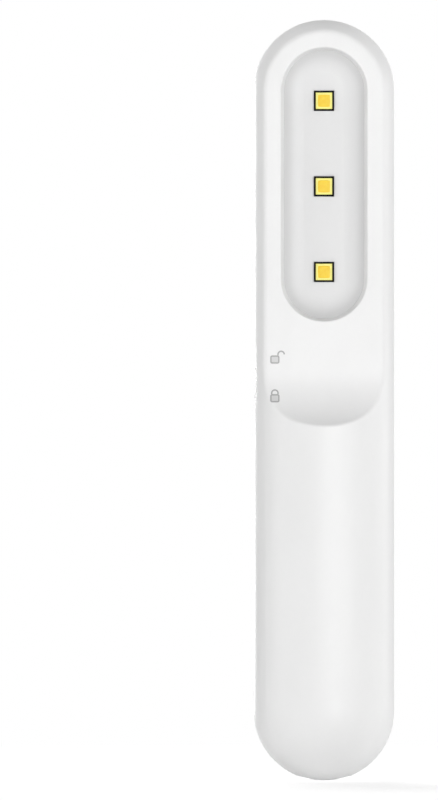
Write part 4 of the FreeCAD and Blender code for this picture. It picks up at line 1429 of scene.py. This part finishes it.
@dataclass
class Studio:
    """White studio with the camera, a floor that keeps the shadow, and soft lamps on both sides."""

    scale: float = 0.1708 * MM  # width of one picture element on the wand
    picture: tuple[int, int] = (438, 800)
    wand_spot: Point = (323.9, 400.6)  # place of the wand's middle in the picture
    lens: float = 600.0
    sensor: float = 36.0
    floor_radius: float = 4.0
    floor_rings: int = 12
    floor_spokes: int = 96
    floor_fade: float = 0.24  # distance where the floor has turned into background
    floor_core: float = 0.2  # share of that distance that is all floor
    floor_lit: float = 0.4  # brightness of the paint away from the shadow
    floor_grain: Cloud = Cloud(4 * MM)
    floor_tones: Point = (0.88, 0.9)
    horizon: float = 1.58  # strength of the light at eye level
    zenith: float = 0.08  # strength of the light from above and below
    steep: float = 0.5  # steepness from which the light is that of the zenith
    lamps: tuple[SoftBox, ...] = (
        SoftBox("lamp_side_key", (-0.34, 1.0, 0.03), 0.8, 0.2, 5.4),
        SoftBox("button_side_key", (0.2, -1.0, 0.03), 0.8, 0.2, 3.9),
        SoftBox("raised_box", (0.1, -0.45, 0.95), 0.3, 0.3, 2.8, mirrored=False),
        SoftBox("left_strip", (0.95, 0.35, 0.03), 0.4, 0.2, 1.6),
        SoftBox("right_strip", (-0.95, -0.25, 0.03), 0.4, 0.2, 1.15),
    )
    near_clip: float = 0.05
    far_clip: float = 4.0  # in distances of the wand

    def build(self) -> None:
        """Set up floor, light and camera."""
        self.floor()
        self.surroundings()
        for lamp in self.lamps:
            lamp.build()
            LOG.info("lit %s", lamp.name)
        self.camera()
        bpy.context.scene.view_settings.view_transform = "Standard"

    def seen_white(self, graph: Graph) -> Signal:
        """Share of white for rays that look at the background.

        Args:
            graph: Node tree of the floor or the world.

        Returns:
            1 for camera, glossy and transmitted rays.
        """
        path = graph.add("ShaderNodeLightPath")
        names = ("Is Camera Ray", "Is Glossy Ray", "Is Transmission Ray")
        seen, gloss, through = (Signal(graph, path.outputs[name]) for name in names)
        return seen.at_least(gloss).at_least(through)

    def floor(self) -> None:
        """Round pale floor that keeps the wand's shadow near its foot."""
        rings, spokes = self.floor_rings, self.floor_spokes
        level = CAD_BOX[0].z
        vertices: list[Spot] = [(0.0, 0.0, level)]
        faces: list[Face] = []
        for ring in range(1, rings + 1):
            reach = self.floor_radius * (ring / rings) ** 2
            for spoke in range(spokes):
                angle = 2 * math.pi * spoke / spokes
                vertices.append((reach * math.cos(angle), reach * math.sin(angle), level))
        for spoke in range(spokes):
            following = (spoke + 1) % spokes
            faces.append((0, 1 + spoke, 1 + following))
            for ring in range(rings - 1):
                inner, outer = 1 + ring * spokes, 1 + (ring + 1) * spokes
                faces.append((inner + spoke, outer + spoke, outer + following, inner + following))
        mesh = bpy.data.meshes.new("studio_floor")
        mesh.from_pydata(vertices, [], faces)
        mesh.materials.append(self.floor_paint())
        floor = bpy.data.objects.new("studio_floor", mesh)
        bpy.context.scene.collection.objects.link(floor)

    def floor_paint(self) -> bpy.types.Material:
        """White paint that turns into plain background away from the wand.

        Returns:
            The material.
        """
        material, graph = Graph.of_material("studio_floor_white")
        place = graph.place()
        across, through, _ = graph.axes(place)
        far = graph.hypot(across, through).ramp(self.floor_core * self.floor_fade, self.floor_fade)
        grain = graph.noise(place, self.floor_grain)
        tone = graph.blend(grain, *(grey(level) for level in self.floor_tones))
        paint = graph.signal("ShaderNodeBsdfDiffuse", None, {"Color": tone})
        seen = self.seen_white(graph)
        lift = graph.signal("ShaderNodeEmission", None, {"Color": WHITE, "Strength": 1.0 - self.floor_lit})
        raised = graph.signal("ShaderNodeAddShader", None, {0: paint, 1: lift})
        near = graph.signal("ShaderNodeMixShader", None, {0: seen, 1: paint, 2: raised})
        plain = graph.signal("ShaderNodeEmission", None, {"Color": WHITE, "Strength": 1.0})
        mixed = graph.signal("ShaderNodeMixShader", None, {0: far * seen, 1: near, 2: plain})
        graph.add("ShaderNodeOutputMaterial", None, {"Surface": mixed})
        return material

    def surroundings(self) -> None:
        """Even light around the wand, strongest at eye level, with a white background."""
        world = bpy.data.worlds.new("studio_white")
        world.use_nodes = True
        bpy.context.scene.world = world
        graph = Graph(world.node_tree)
        direction = graph.signal("ShaderNodeTexCoord", None, None, "Generated")
        _, _, up = graph.axes(direction)
        steep = abs(up).ramp(0.0, self.steep)
        strength = self.horizon + (self.zenith - self.horizon) * steep
        light = graph.signal("ShaderNodeBackground", None, {"Color": WHITE, "Strength": strength})
        white = graph.signal("ShaderNodeBackground", None, {"Color": WHITE, "Strength": 1.0})
        mixed = graph.signal("ShaderNodeMixShader", None, {0: self.seen_white(graph), 1: light, 2: white})
        graph.add("ShaderNodeOutputWorld", None, {"Surface": mixed})

    def camera(self) -> None:
        """Long lens square on to the lamp side, with the wand right of the picture's middle."""
        data = bpy.data.cameras.new("photo_camera")
        data.lens = self.lens
        data.sensor_width = self.sensor
        distance = self.picture[1] * self.scale * self.lens / self.sensor
        data.clip_start = self.near_clip
        data.clip_end = self.far_clip * distance
        aside = (self.wand_spot[0] - self.picture[0] / 2) * self.scale
        lift = (self.wand_spot[1] - self.picture[1] / 2) * self.scale
        camera = bpy.data.objects.new("photo_camera", data)
        camera.location = (aside, distance, lift)
        camera.rotation_euler = (math.radians(90), 0.0, math.radians(180))
        bpy.context.scene.collection.objects.link(camera)
        bpy.context.scene.camera = camera


def corners(box: Sequence[Vector]) -> list[list[float]]:
    """Lowest and highest corner of a box as plain lists."""
    return [list(corner) for corner in box]


def main() -> None:
    """Dress the solids, add the made pieces and set up the studio."""
    logging.basicConfig(level=logging.INFO, format="%(message)s")
    paints = Paints()
    for group in (Casing, PowerKey, SideLock, Indicator, LampHead, ChargePort, Inside):
        part = group(paints)
        part.dress()
        part.build()
    Studio().build()


if __name__ == "__main__":
    main()
